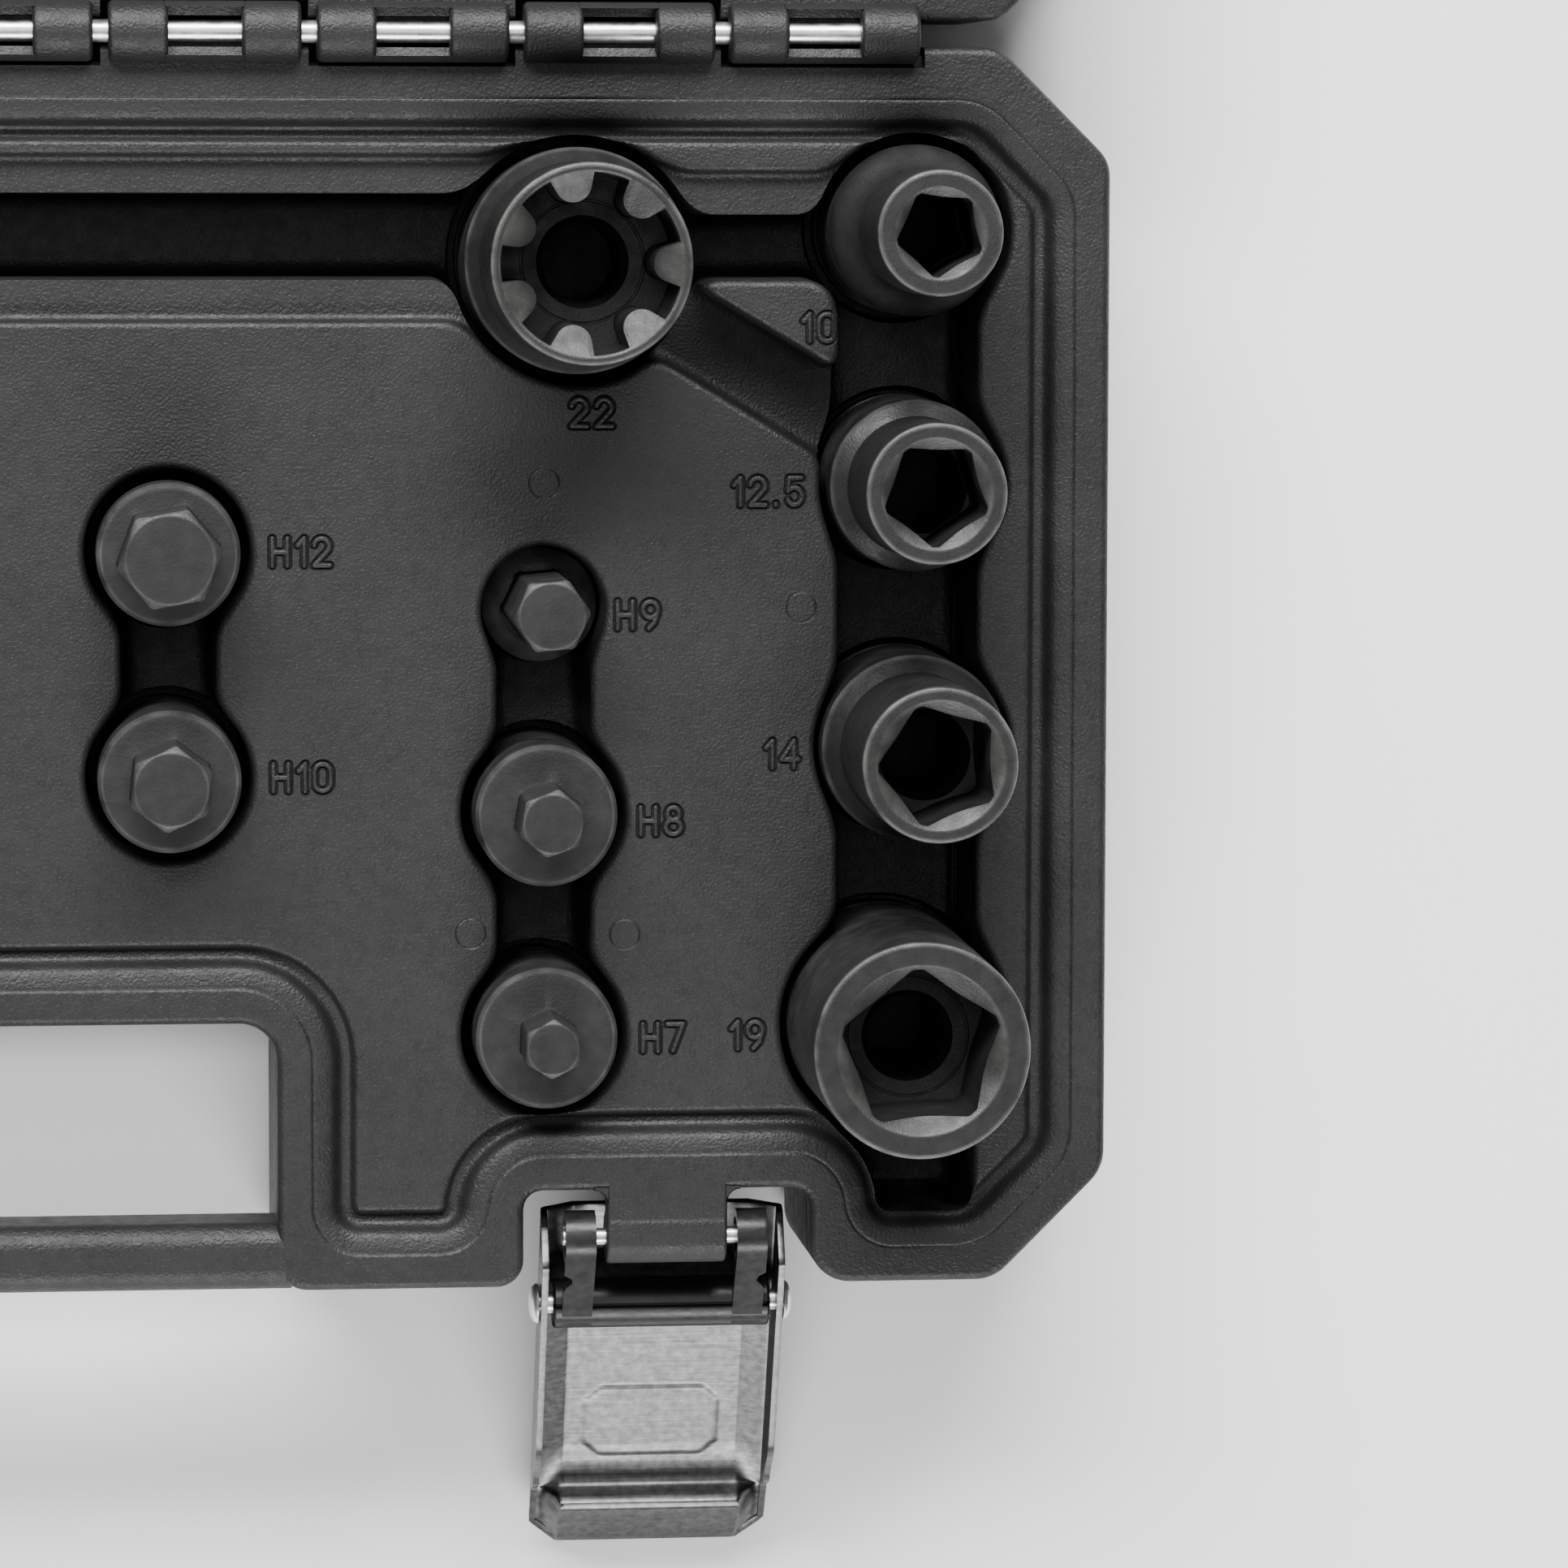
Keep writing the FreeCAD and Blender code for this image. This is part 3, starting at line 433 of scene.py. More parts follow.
# ------------------------------------------------------------------- contour meshing
def contours(values, xs, ys, level):
    """Chains of points where a grid of values crosses a level."""
    v = values - level
    v = np.where(v == 0, 1e-9, v)
    rows, cols = v.shape
    s = v > 0
    flat = np.arange(rows * cols).reshape(rows, cols)
    across = s[:, :-1] != s[:, 1:]
    up = s[:-1, :] != s[1:, :]
    t = np.where(across, v[:, :-1] / np.where(across, v[:, :-1] - v[:, 1:], 1), 0)
    u = np.where(up, v[:-1, :] / np.where(up, v[:-1, :] - v[1:, :], 1), 0)
    i, j = np.nonzero(across)
    place = {}
    for key, a, b in zip(flat[i, j], xs[j] + t[i, j] * (xs[1] - xs[0]), ys[i]):
        place[(0, int(key))] = (a, b)
    i, j = np.nonzero(up)
    for key, a, b in zip(flat[i, j], xs[j], ys[i] + u[i, j] * (ys[1] - ys[0])):
        place[(1, int(key))] = (a, b)
    links = {key: [] for key in place}
    mixed = (s[:-1, :-1] != s[:-1, 1:]) | (s[:-1, :-1] != s[1:, :-1]) | (s[:-1, 1:] != s[1:, 1:])
    for i, j in zip(*np.nonzero(mixed)):
        sides = ((across[i, j], 0, flat[i, j]), (up[i, j + 1], 1, flat[i, j + 1]),
                 (across[i + 1, j], 0, flat[i + 1, j]), (up[i, j], 1, flat[i, j]))
        here = [(kind, int(spot)) for crossed, kind, spot in sides if crossed]
        for a, b in zip(here[::2], here[1::2]):
            links[a].append(b)
            links[b].append(a)
    chains, used = [], set()
    starts = [k for k, ends in links.items() if len(ends) == 1] + list(links)
    for start in starts:
        if start in used:
            continue
        chain, key = [start], start
        used.add(start)
        while True:
            following = [n for n in links[key] if n not in used]
            if not following:
                break
            key = following[0]
            used.add(key)
            chain.append(key)
        closed = len(chain) > 3 and start in links[key]
        points = [place[k] for k in chain]
        if closed:
            points.append(points[0])
        chains.append(np.array(points))
    return chains


def simplified(chain, tolerance):
    """The chain with every point left out that lies within the tolerance of its run."""
    if len(chain) < 4:
        return chain
    keep = np.zeros(len(chain), bool)
    keep[[0, -1]] = True
    closed = np.allclose(chain[0], chain[-1])
    stack = [(0, len(chain) - 1)]
    if closed:
        far = int(np.argmax(np.hypot(*(chain - chain[0]).T)))
        keep[far] = True
        stack = [(0, far), (far, len(chain) - 1)]
    while stack:
        a, b = stack.pop()
        if b - a < 2:
            continue
        run = chain[b] - chain[a]
        rel = chain[a + 1:b] - chain[a]
        off = np.abs(rel[:, 0] * run[1] - rel[:, 1] * run[0]) / max(np.hypot(*run), 1e-9)
        worst = int(np.argmax(off))
        if off[worst] > tolerance:
            k = a + 1 + worst
            keep[k] = True
            stack += [(a, k), (k, b)]
    return chain[keep]


def field_mesh(boundary, chains, height):
    """Triangles over the inside of a boundary, with the chains as edges, lifted to a height.
    Returns points, triangles and the boundary as an ordered row of indices."""
    loop = np.vstack([boundary, boundary[:1]])
    points, edges = [], []
    for chain in [loop] + chains:
        closed = len(chain) > 2 and np.allclose(chain[0], chain[-1])
        body = chain[:-1] if closed else chain
        first = len(points)
        points += [Vector((float(a), float(b))) for a, b in body]
        edges += [(first + i, first + i + 1) for i in range(len(body) - 1)]
        if closed:
            edges.append((first + len(body) - 1, first))
    flat, _, faces, _, _, _ = delaunay_2d_cdt(points, edges, [], 0, 1e-4)
    xy = np.array([tuple(p) for p in flat])
    faces = np.array(faces)
    middle = xy[faces].mean(1)
    faces = faces[polygon_distance(boundary, middle[:, 0], middle[:, 1]) > 0]
    a, b, c = xy[faces[:, 0]], xy[faces[:, 1]], xy[faces[:, 2]]
    area = (b - a)[:, 0] * (c - a)[:, 1] - (b - a)[:, 1] * (c - a)[:, 0]
    faces = faces[np.abs(area) > 1e-7]
    z = height(xy[:, 0], xy[:, 1])
    seen = {}
    for face in faces:
        for i, j in ((face[0], face[1]), (face[1], face[2]), (face[2], face[0])):
            if (j, i) in seen:
                del seen[(j, i)]
            else:
                seen[(i, j)] = True
    after = {i: j for i, j in seen}
    start = next(iter(after))
    row, key = [start], after[start]
    while key != start and len(row) <= len(after):
        row.append(key)
        key = after[key]
    return np.column_stack([xy, z]), faces, np.array(row)


def inset_row(points, amount):
    """A closed row of (x, y) moved inwards; the row runs anticlockwise."""
    along = np.roll(points, -1, 0) - np.roll(points, 1, 0)
    length = np.maximum(np.linalg.norm(along, axis=1, keepdims=True), 1e-9)
    inward = np.stack([-along[:, 1], along[:, 0]], 1) / length
    return points + inward * amount


def closed_slab(shape, boundary, top, under, skirt):
    """Solid between a top field and an underside field.  skirt lists (height, inset) of the
    rows of the side wall, from the top down; the last one is the underside's edge."""
    points, faces, row = field_mesh(boundary, top[0], top[1])
    first = shape.add(points, faces)
    edge = points[row][:, :2]
    low, low_faces, low_row = field_mesh(edge, under[0], under[1])
    spots = {(round(p[0], 3), round(p[1], 3)): i for i, p in enumerate(edge)}
    order = [spots.get((round(low[i][0], 3), round(low[i][1], 3))) for i in low_row]
    height, inset = skirt[-1]
    low[low_row, :2] = inset_row(low[low_row][:, :2], inset)
    low[low_row, 2] = height
    low_first = shape.add(low, [f[::-1] for f in low_faces])
    rows = [first + row]
    for z, inset in skirt[:-1]:
        ring = inset_row(edge, inset)
        start = shape.add(np.column_stack([ring, np.full(len(ring), z)]), [])
        rows.append(start + np.arange(len(ring)))
    if None in order or len(order) != len(row):
        raise RuntimeError("the underside's edge doesn't match the top's")
    back = np.empty(len(row), int)
    back[order] = low_first + low_row
    rows.append(back)
    for a, b in zip(rows, rows[1:]):
        shape.join(a, b)


def arc_table(rise, start, flat, steps=6):
    """(distance, height) knots of a rounded edge: flat at start, upright at start - rise."""
    turns = [math.pi / 2 * i / steps for i in range(steps + 1)]
    return [(start - rise * math.sin(t), flat - rise * (1 - math.cos(t))) for t in turns]


def at_knots(distance, knots):
    """Height at each distance, from (distance, height) knots."""
    knots = sorted(knots)
    return np.interp(distance, [k[0] for k in knots], [k[1] for k in knots])


# ---------------------------------------------------------------------------- labels
def arc(cx, cy, rx, ry, a0, a1, n=14):
    angles = np.radians(np.linspace(a0, a1, n))
    return [(cx + rx * math.cos(a), cy + ry * math.sin(a)) for a in angles]


GLYPHS = {
    "0": [arc(0.3, 0.7, 0.3, 0.3, 0, 180) + arc(0.3, 0.3, 0.3, 0.3, 180, 360) + [(0.6, 0.7)]],
    "1": [[(0.02, 0.74), (0.26, 1.0), (0.26, 0.0)]],
    "2": [arc(0.3, 0.7, 0.28, 0.3, 170, -25) + [(0.02, 0.0), (0.6, 0.0)]],
    "3": [arc(0.3, 0.75, 0.26, 0.25, 160, -80) + arc(0.3, 0.26, 0.29, 0.27, 80, -160)],
    "4": [[(0.46, 0.0), (0.46, 1.0), (0.0, 0.3), (0.62, 0.3)]],
    "5": [[(0.55, 1.0), (0.1, 1.0), (0.05, 0.52)] + arc(0.3, 0.32, 0.28, 0.32, 130, -150)],
    "6": [arc(0.3, 0.3, 0.28, 0.3, 180, -180) + [(0.02, 0.42), (0.12, 0.75), (0.36, 1.0)]],
    "7": [[(0.0, 1.0), (0.58, 1.0), (0.2, 0.0)]],
    "8": [arc(0.3, 0.76, 0.23, 0.24, -90, 270, 20), arc(0.3, 0.27, 0.29, 0.27, 90, 450, 20)],
    "9": [arc(0.3, 0.7, 0.28, 0.3, 0, 360, 20) + [(0.56, 0.56), (0.45, 0.22), (0.24, 0.0)]],
    "H": [[(0.0, 0.0), (0.0, 1.0)], [(0.56, 0.0), (0.56, 1.0)], [(0.0, 0.5), (0.56, 0.5)]],
    ".": [[(0.06, 0.0), (0.06, 0.04)]],
}
GLYPH_HEIGHT, STROKE = 3.6, 0.25
LABELS = [
    ("10", 108.6, 45.6), ("12.5", 101.8, 23.8), ("14", 103.7, -11.4), ("19", 99.1, -49.2),
    ("22", 78.2, 34.4), ("H9", 84.4, 7.4), ("H8", 87.5, -20.2), ("H7", 87.8, -49.4),
    ("11", -108.6, 45.6), ("13", -102.9, 23.8), ("15", -103.7, -11.4), ("17", -99.1, -49.2),
    ("24", -78.2, 34.4), ("H6", -84.4, 7.4), ("H5", -87.5, -20.2), ("H4", -87.8, -49.4),
    ("H12", 39.6, 16.0), ("H10", 39.6, -14.0), ("H16", -39.6, 16.0), ("H14", -39.6, -14.0),
]
PLUGS = [(71.9, 25.0), (106.3, 8.3), (82.6, -35.4), (62.0, -35.1)]
PLUGS += [(-x, y) for x, y in PLUGS]


def label_strokes(text, x, y):
    """The strokes of a size mark, centred on a point, in millimetres."""
    width = {"1": 0.28, ".": 0.14}
    advance = [width.get(c, 0.6) * GLYPH_HEIGHT + 1.15 for c in text]
    left = x - (sum(advance) - 1.15) / 2
    out = []
    for c, step in zip(text, advance):
        for stroke in GLYPHS[c]:
            out.append(np.array(stroke) * GLYPH_HEIGHT + (left, y - GLYPH_HEIGHT / 2))
        left += step
    return out


def stroke_distance(strokes, x, y):
    best = np.full(x.shape, 1e9)
    for stroke in strokes:
        for (x0, y0), (x1, y1) in zip(stroke, stroke[1:]):
            dx, dy = x1 - x0, y1 - y0
            t = np.clip(((x - x0) * dx + (y - y0) * dy) / (dx * dx + dy * dy + 1e-12), 0, 1)
            np.minimum(best, np.hypot(x - x0 - t * dx, y - y0 - t * dy), out=best)
    return best


MARKS = [label_strokes(*label) for label in LABELS]
MARK_BOXES = [
    (min(s[:, 0].min() for s in m) - 1.5, max(s[:, 0].max() for s in m) + 1.5,
     min(s[:, 1].min() for s in m) - 1.5, max(s[:, 1].max() for s in m) + 1.5)
    for m in MARKS
]
MARK_D = [0.0, STROKE * 0.7, STROKE, STROKE + 0.12, STROKE + 0.2, STROKE + 0.28, STROKE + 0.42]
MARK_Z = [0.12, 0.09, 0.03, -0.34, -0.38, -0.26, 0.0]


def mark_height(x, y):
    """The raised size marks, each in a thin sunk line, and the faint round plug marks."""
    z = np.zeros(x.shape)
    for strokes, (x0, x1, y0, y1) in zip(MARKS, MARK_BOXES):
        near = (x > x0) & (x < x1) & (y > y0) & (y < y1)
        if near.any():
            z[near] = np.interp(stroke_distance(strokes, x[near], y[near]), MARK_D, MARK_Z)
    for px, py in PLUGS:
        d = np.abs(np.hypot(x - px, y - py) - 2.0)
        z -= np.interp(d, [0.0, 0.16], [0.13, 0.0])
    return z


def mark_chains():
    out = []
    for strokes, (x0, x1, y0, y1) in zip(MARKS, MARK_BOXES):
        xs, ys = np.arange(x0, x1, 0.12), np.arange(y0, y1, 0.12)
        gx, gy = np.meshgrid(xs, ys)
        field = stroke_distance(strokes, gx, gy)
        for level in MARK_D[1:]:
            out += [simplified(c, 0.012) for c in contours(field, xs, ys, level) if len(c) > 5]
        out += strokes
    for px, py in PLUGS:
        for r in (1.84, 2.0, 2.16):
            out.append(np.array([(px + x, py + y) for x, y in arc(0, 0, r, r, 0, 360, 41)]))
    return out


# ------------------------------------------------------------------ base: inner tray
COLUMN_X, COLUMN_HALF, COLUMN_LOW = 120.6, 9.3, -74.6
SLOT_HALF = 6.2
LOBE_X, LOBE_Y = CENTRE["socket_lobe_22"][:2]
BIT_X, CENTRE_X = CENTRE["bit_hex_8"][0], CENTRE["bit_hex_12"][0]
EDGE_ROUND, WALL_SLOPE = 1.0, 48.0
CROSS_TURN, CROSS_LENGTH, CROSS_HALF = math.radians(-31.0), 52, 5.5
BACK_LOW, BACK_HIGH = 51.9, 60.6


def inside_groove(d, x, y, edge=4.3):
    """A pocket's distance, ended where the groove behind the rim runs past it."""
    return -blended([-d, polygon_distance(CREASE, x, y) - edge], 1.5)


def circles(x, y, names, shrink=0.4):
    return [np.hypot(x - CENTRE[n][0], y - CENTRE[n][1]) - (TOOLS[n][7] - shrink) for n in names]


SOCKETS = [n for n in TOOLS if n.startswith("socket")]
BITS = [n for n in TOOLS if n.startswith("bit")]


def cross_channel(x, y, side):
    """The finger channel that runs aslant from a lobed socket to the outer column."""
    turn = CROSS_TURN
    u = (side * x - LOBE_X) * math.cos(turn) + (y - LOBE_Y) * math.sin(turn)
    v = -(side * x - LOBE_X) * math.sin(turn) + (y - LOBE_Y) * math.cos(turn)
    return box_distance(u, v, 0, CROSS_LENGTH, -CROSS_HALF, CROSS_HALF)


def group_ledge(x, y):
    steps = [box_distance(x, y, -COLUMN_X, COLUMN_X, BACK_LOW, 66.2),
             box_distance(x, y, -LOBE_X, LOBE_X, BACK_LOW, 68.2),
             box_distance(x, y, -LOBE_X, LOBE_X, 46.5, 60.1)]
    return blended(steps + circles(x, y, ["socket_10", "socket_11", "socket_lobe_22", "socket_lobe_24"]), 3.2)


def group_cross(x, y):
    parts = []
    for side, lobe, near in ((1, "socket_lobe_22", "socket_12_5"), (-1, "socket_lobe_24", "socket_13")):
        column = box_distance(side * x, y, COLUMN_X - COLUMN_HALF, COLUMN_X + COLUMN_HALF, -60, 55)
        parts.append(blended([cross_channel(x, y, side), column] + circles(x, y, [lobe, near]), 2.4))
    return np.minimum(*parts)


def group_slots(x, y):
    out = None
    for side in (1, -1):
        for middle, top, low in (
            (BIT_X, "bit_hex_9", "bit_hex_7"), (CENTRE_X, "bit_hex_12", "bit_hex_10"),
        ):
            d = box_distance(side * x, y, middle - SLOT_HALF, middle + SLOT_HALF,
                             CENTRE[low][1], CENTRE[top][1])
            out = d if out is None else np.minimum(out, d)
    return blended([out] + circles(x, y, BITS), 2.6)


def group_columns(x, y):
    column = box_distance(np.abs(x), y, COLUMN_X - COLUMN_HALF, COLUMN_X + COLUMN_HALF, COLUMN_LOW,
                          CENTRE["socket_10"][1])
    slot = np.minimum(box_distance(x, y, -COLUMN_X, COLUMN_X, BACK_LOW, BACK_HIGH),
                      box_distance(x, y, -LOBE_X, LOBE_X, BACK_LOW, 63.4))
    return inside_groove(blended([column] + circles(x, y, SOCKETS) + [slot], 3.2), x, y)


def group_pockets(x, y):
    return np.min(circles(x, y, list(TOOLS)), axis=0)


GROUPS = [
    (group_ledge, 31.8, 1.0), (group_cross, 24.0, 1.8), (group_slots, 18.0, 2.0),
    (group_columns, 14.0, 2.4), (group_pockets, 10.0, 0.4),
]
TOP_KNOTS = arc_table(EDGE_ROUND, EDGE_ROUND, PLATFORM)


def group_table(floor, fillet):
    """(distance, height) of a pocket wall: floor, fillet, drafted wall, rounded top edge."""
    wall = (floor + fillet - (PLATFORM - EDGE_ROUND)) / WALL_SLOPE
    low = []
    for turn in (90, 60, 30, 0):
        t = math.radians(turn)
        low.append((wall - fillet * (1 - math.cos(t)), floor + fillet * (1 - math.sin(t))))
    return low + TOP_KNOTS[::-1]


TABLES = [group_table(floor, fillet) for _, floor, fillet in GROUPS]
# Rim, dark crease, sloping band, groove and platform edge, measured inwards from the crease.
RIM_D = [-0.45, -0.16, 0.0, 0.16, 0.5, 1.6, 2.3, 2.7, 3.0, 3.2, 3.4, 3.7, 4.1, 4.9, 5.15,
         5.35, 5.55, 5.75, 6.0, 6.5]
RIM_Z = [35.85, 35.70, 35.56, 35.64, 35.66, 35.42, 35.2, 34.9, 34.45, 34.0, 33.5, 33.05, 32.82, 32.8, 32.95,
         33.25, 33.6, 33.82, 33.95, 34.0]
OUTER_ROUND = 1.2
OUTER_KNOTS = arc_table(OUTER_ROUND, OUTER_ROUND, 0.0, 5)
KNUCKLES, PITCH, KNUCKLE = 9, 27.2, 25.2
KNUCKLE_RADIUS, WINDOW_HALF, WINDOW_LAP = 4.0, 4.8, 0.4
# Radius of the room for the other half's knuckles, and the rows of points across it.
ROOM = 4.5
ROOM_Y = [79.99, 80.02, 80.12, 80.35, 80.7, 81.2, 81.9, 83.5]


def knuckle_x(index):
    middle = (index - (KNUCKLES - 1) / 2) * PITCH
    return middle - KNUCKLE / 2, middle + KNUCKLE / 2


def room_height(x, y, own):
    """How the back rim is cut away beside the other half's knuckles."""
    z = np.full(x.shape, 1e3)
    depth = RIM + 0.15 - np.sqrt(np.maximum(ROOM**2 - (HINGE_Y - y) ** 2, 0))
    for i in range(KNUCKLES):
        if i not in own:
            x0, x1 = knuckle_x(i)
            inside = (x > x0 - 0.97) & (x < x1 + 0.97) & (y > HINGE_Y - ROOM)
            z = np.where(inside, np.minimum(z, depth), z)
    return z


def room_chains(own):
    out = []
    for i in range(KNUCKLES):
        if i in own:
            continue
        x0, x1 = knuckle_x(i)
        for y in ROOM_Y[:-1]:
            out.append(np.array([(x0 - 1.0, y), (x1 + 1.0, y)]))
        for x in (x0 - 1.0, x0 - 0.94, x1 + 0.94, x1 + 1.0):
            out.append(np.array([(x, ROOM_Y[0]), (x, HALF_D)]))
    return out


BASE_OWN = (1, 3, 5, 7)


def tray_height(x, y):
    rim = np.interp(polygon_distance(CREASE, x, y), RIM_D, RIM_Z)
    edge = at_knots(polygon_distance(OUTLINE, x, y), OUTER_KNOTS)
    z = rim + edge + mark_height(x, y)
    for (group, _, _), table in zip(GROUPS, TABLES):
        d = group(x, y)
        wall = at_knots(d, table)
        z = np.where(d < EDGE_ROUND, np.minimum(z, wall), z)
    return np.minimum(z, room_height(x, y, BASE_OWN))


# Distance from each group's edge to the outside of the cup that surrounds it.
CUP_D = (1.62, 1.58, 1.54, 1.50, 1.46)


def under_height(x, y):
    z = np.full(x.shape, SEAM)
    for (group, floor, _), at in zip(GROUPS, CUP_D):
        z = np.minimum(z, np.interp(group(x, y), [at, at + 0.08], [floor - TRAY_WALL, SEAM]))
    return z


GRID_X = np.arange(-HALF_W - 1.0, HALF_W + 1.01, 0.5)
GRID_Y = np.arange(-HALF_D - 1.0, HALF_D + 1.01, 0.5)
GX, GY = np.meshgrid(GRID_X, GRID_Y)


def level_chains(field, levels, tolerance=0.012):
    out = []
    for level in levels:
        out += [simplified(c, tolerance) for c in contours(field, GRID_X, GRID_Y, level) if len(c) > 6]
    return out


outline_field = polygon_distance(OUTLINE, GX, GY)
crease_field = polygon_distance(CREASE, GX, GY)
group_fields = [group(GX, GY) for group, _, _ in GROUPS]
pocket_field = np.min(group_fields, axis=0)


def tray_chains():
    out = level_chains(outline_field, [k[0] for k in OUTER_KNOTS[:-1]])
    out += level_chains(crease_field, RIM_D)
    out += level_chains(pocket_field, [k[0] for k in TOP_KNOTS])
    for field, table in zip(group_fields, TABLES):
        out += level_chains(field, [k[0] for k in table[:4]] + [0.0])
    return out + mark_chains() + room_chains(BASE_OWN)


def under_chains():
    out = level_chains(pocket_field, [1.7], 0.05)
    for field, at in zip(group_fields, CUP_D):
        out += level_chains(field, [at], 0.05)
    return out


def knuckle_profile(window):
    """(y, z) section about the hinge axis: a barrel, or the open cradle of the window."""
    if not window:
        return np.array([(KNUCKLE_RADIUS * math.cos(a), KNUCKLE_RADIUS * math.sin(a))
                         for a in np.radians(np.arange(0, 360, 7.5))])
    lip = [(3.2, 2.4), (3.2, 1.95), (2.6, 1.75), (2.6, 0.9), (2.05, 0.7), (1.95, -0.6)]
    floor = [(1.55, -1.4), (0.9, -1.9), (0.0, -2.05)]
    inner = lip + floor
    inner += [(-a, b) for a, b in reversed(inner[:-1])]
    outer = [(KNUCKLE_RADIUS * math.cos(a), KNUCKLE_RADIUS * math.sin(a))
             for a in np.radians(np.arange(142, 398.1, 8))]
    return np.array(outer + inner)


def add_knuckles(shape, own):
    for i in own:
        x0, x1 = knuckle_x(i)
        middle = (x0 + x1) / 2
        spot = np.array([HINGE_Y, HINGE_Z])
        reach = WINDOW_HALF + WINDOW_LAP
        extrude_x(shape, knuckle_profile(False) + spot, x0, middle - WINDOW_HALF, 0.7)
        extrude_x(shape, knuckle_profile(True) + spot, middle - reach, middle + reach, 0.05)
        extrude_x(shape, knuckle_profile(False) + spot, middle + WINDOW_HALF, x1, 0.7)
        neck = [(HALF_D - 2.0, SEAM + 0.3), (HINGE_Y, HINGE_Z - 3.9), (HINGE_Y, HINGE_Z - 0.5),
                (HALF_D - 0.6, RIM - 0.15), (HALF_D - 2.0, RIM - 0.12)]
        extrude_x(shape, neck, x0 + 0.3, x1 - 0.3, 0.3)


def add_grip(shape):
    """The carry grip: a bar along X with a rounded section."""
    y0, y1, z0, z1 = -HALF_D, -HALF_D + GRIP_BAR, GRIP_BOTTOM, RIM - 0.02
    corners = rounded([(y0, z0), (y1, z0), (y1, z1), (y0, z1)], [3.2] * 4, 0.4)
    extrude_x(shape, corners, -GRIP_HALF - 2, GRIP_HALF + 2, 0.2)


def prism(shape, corners, z0, z1):
    """An upright prism whose top edge is a little rounded."""
    corners = np.asarray(corners, float)
    after = np.roll(corners, -1, 0)
    if np.sum(corners[:, 0] * after[:, 1] - after[:, 0] * corners[:, 1]) < 0:
        corners = corners[::-1]
    rows = [np.column_stack([inset_row(corners, inset), np.full(len(corners), z)])
            for z, inset in ((z0, 0.0), (z1 - 0.25, 0.0), (z1, 0.2))]
    n = len(corners)
    faces = [tuple(range(n))[::-1], tuple(range(2 * n, 3 * n))]
    for k in (0, 1):
        faces += bridge(np.arange(n) + k * n, np.arange(n) + (k + 1) * n)
    shape.add(np.concatenate(rows), faces)


TONGUE_HALF = 8.1


def add_tongue(shape, side):
    """The lug for the latch pin: a flat top that runs into a moulded barrel."""
    y, z = PIVOT[1], PIVOT[2]
    ring = [(y + 3.6 * math.cos(a), z + 3.6 * math.sin(a)) for a in np.radians(np.arange(98, 334, 8))]
    back = -HALF_D + BAY_DEPTH + 1.2
    profile = ring + [(y + 3.75, RIM - 4.0), (back, RIM - 4.4), (back, RIM - 0.02), (y + 2.9, RIM - 0.02),
                      (y + 2.45, RIM - 0.22), (y + 2.0, RIM - 0.06)]
    middle = side * LATCH_X
    extrude_x(shape, profile, middle - TONGUE_HALF, middle + TONGUE_HALF, 0.5)
    wall, fillet = -HALF_D + BAY_DEPTH, 1.8
    for end in (-1, 1):
        x = middle + end * TONGUE_HALF
        round_x, round_y = x + end * fillet, wall - fillet
        curve = [(round_x - end * fillet * math.sin(t), round_y + fillet * math.cos(t))
                 for t in np.linspace(0, math.pi / 2, 9)]
        corners = [(x - end * 0.3, wall + 0.5), (round_x, wall + 0.5)] + curve
        prism(shape, corners + [(x - end * 0.3, round_y)], RIM - 3.9, RIM - 0.02)


# Rows of the mouldings' side wall, down to the seam: (height, inset).
SKIRT = [(33.6, 0.0), (SEAM + 0.45, 0.0), (SEAM + 0.12, 0.3), (SEAM, 0.45)]

tray = Shape()
closed_slab(
    tray, OUTLINE, (tray_chains(), tray_height), (under_chains(), under_height),
    SKIRT,
)
add_knuckles(tray, BASE_OWN)
add_grip(tray)
for side in (1, -1):
    add_tongue(tray, side)
tray.build("base_tray_moulding", PLASTIC, "base", "case_plastic", replaces=["base_inner_tray"])


# ------------------------------------------------------------------- outer shells
SHELL_ROUND = 4.0
SHELL_KNOTS = arc_table(SHELL_ROUND, SHELL_ROUND, 0.0, 7)
SHELL_WALL = [1.95, 2.2]
PANEL_D = [8.0, 8.5, 9.1, 9.5, 11.5, 12.1, 12.9, 13.5]
PANEL_Z = [0.0, 0.12, 0.68, 0.8, 0.8, 0.7, 0.1, 0.0]


def shell_underside(x, y):
    edge = polygon_distance(OUTLINE, x, y)
    # The skin's rounded edge, and a shallow sunk frame that stiffens the large face.
    return -at_knots(edge, SHELL_KNOTS) + np.interp(edge, PANEL_D, PANEL_Z)


def shell_inside(x, y):
    edge = polygon_distance(OUTLINE, x, y)
    return np.interp(edge, SHELL_WALL, [SEAM, 3.2])


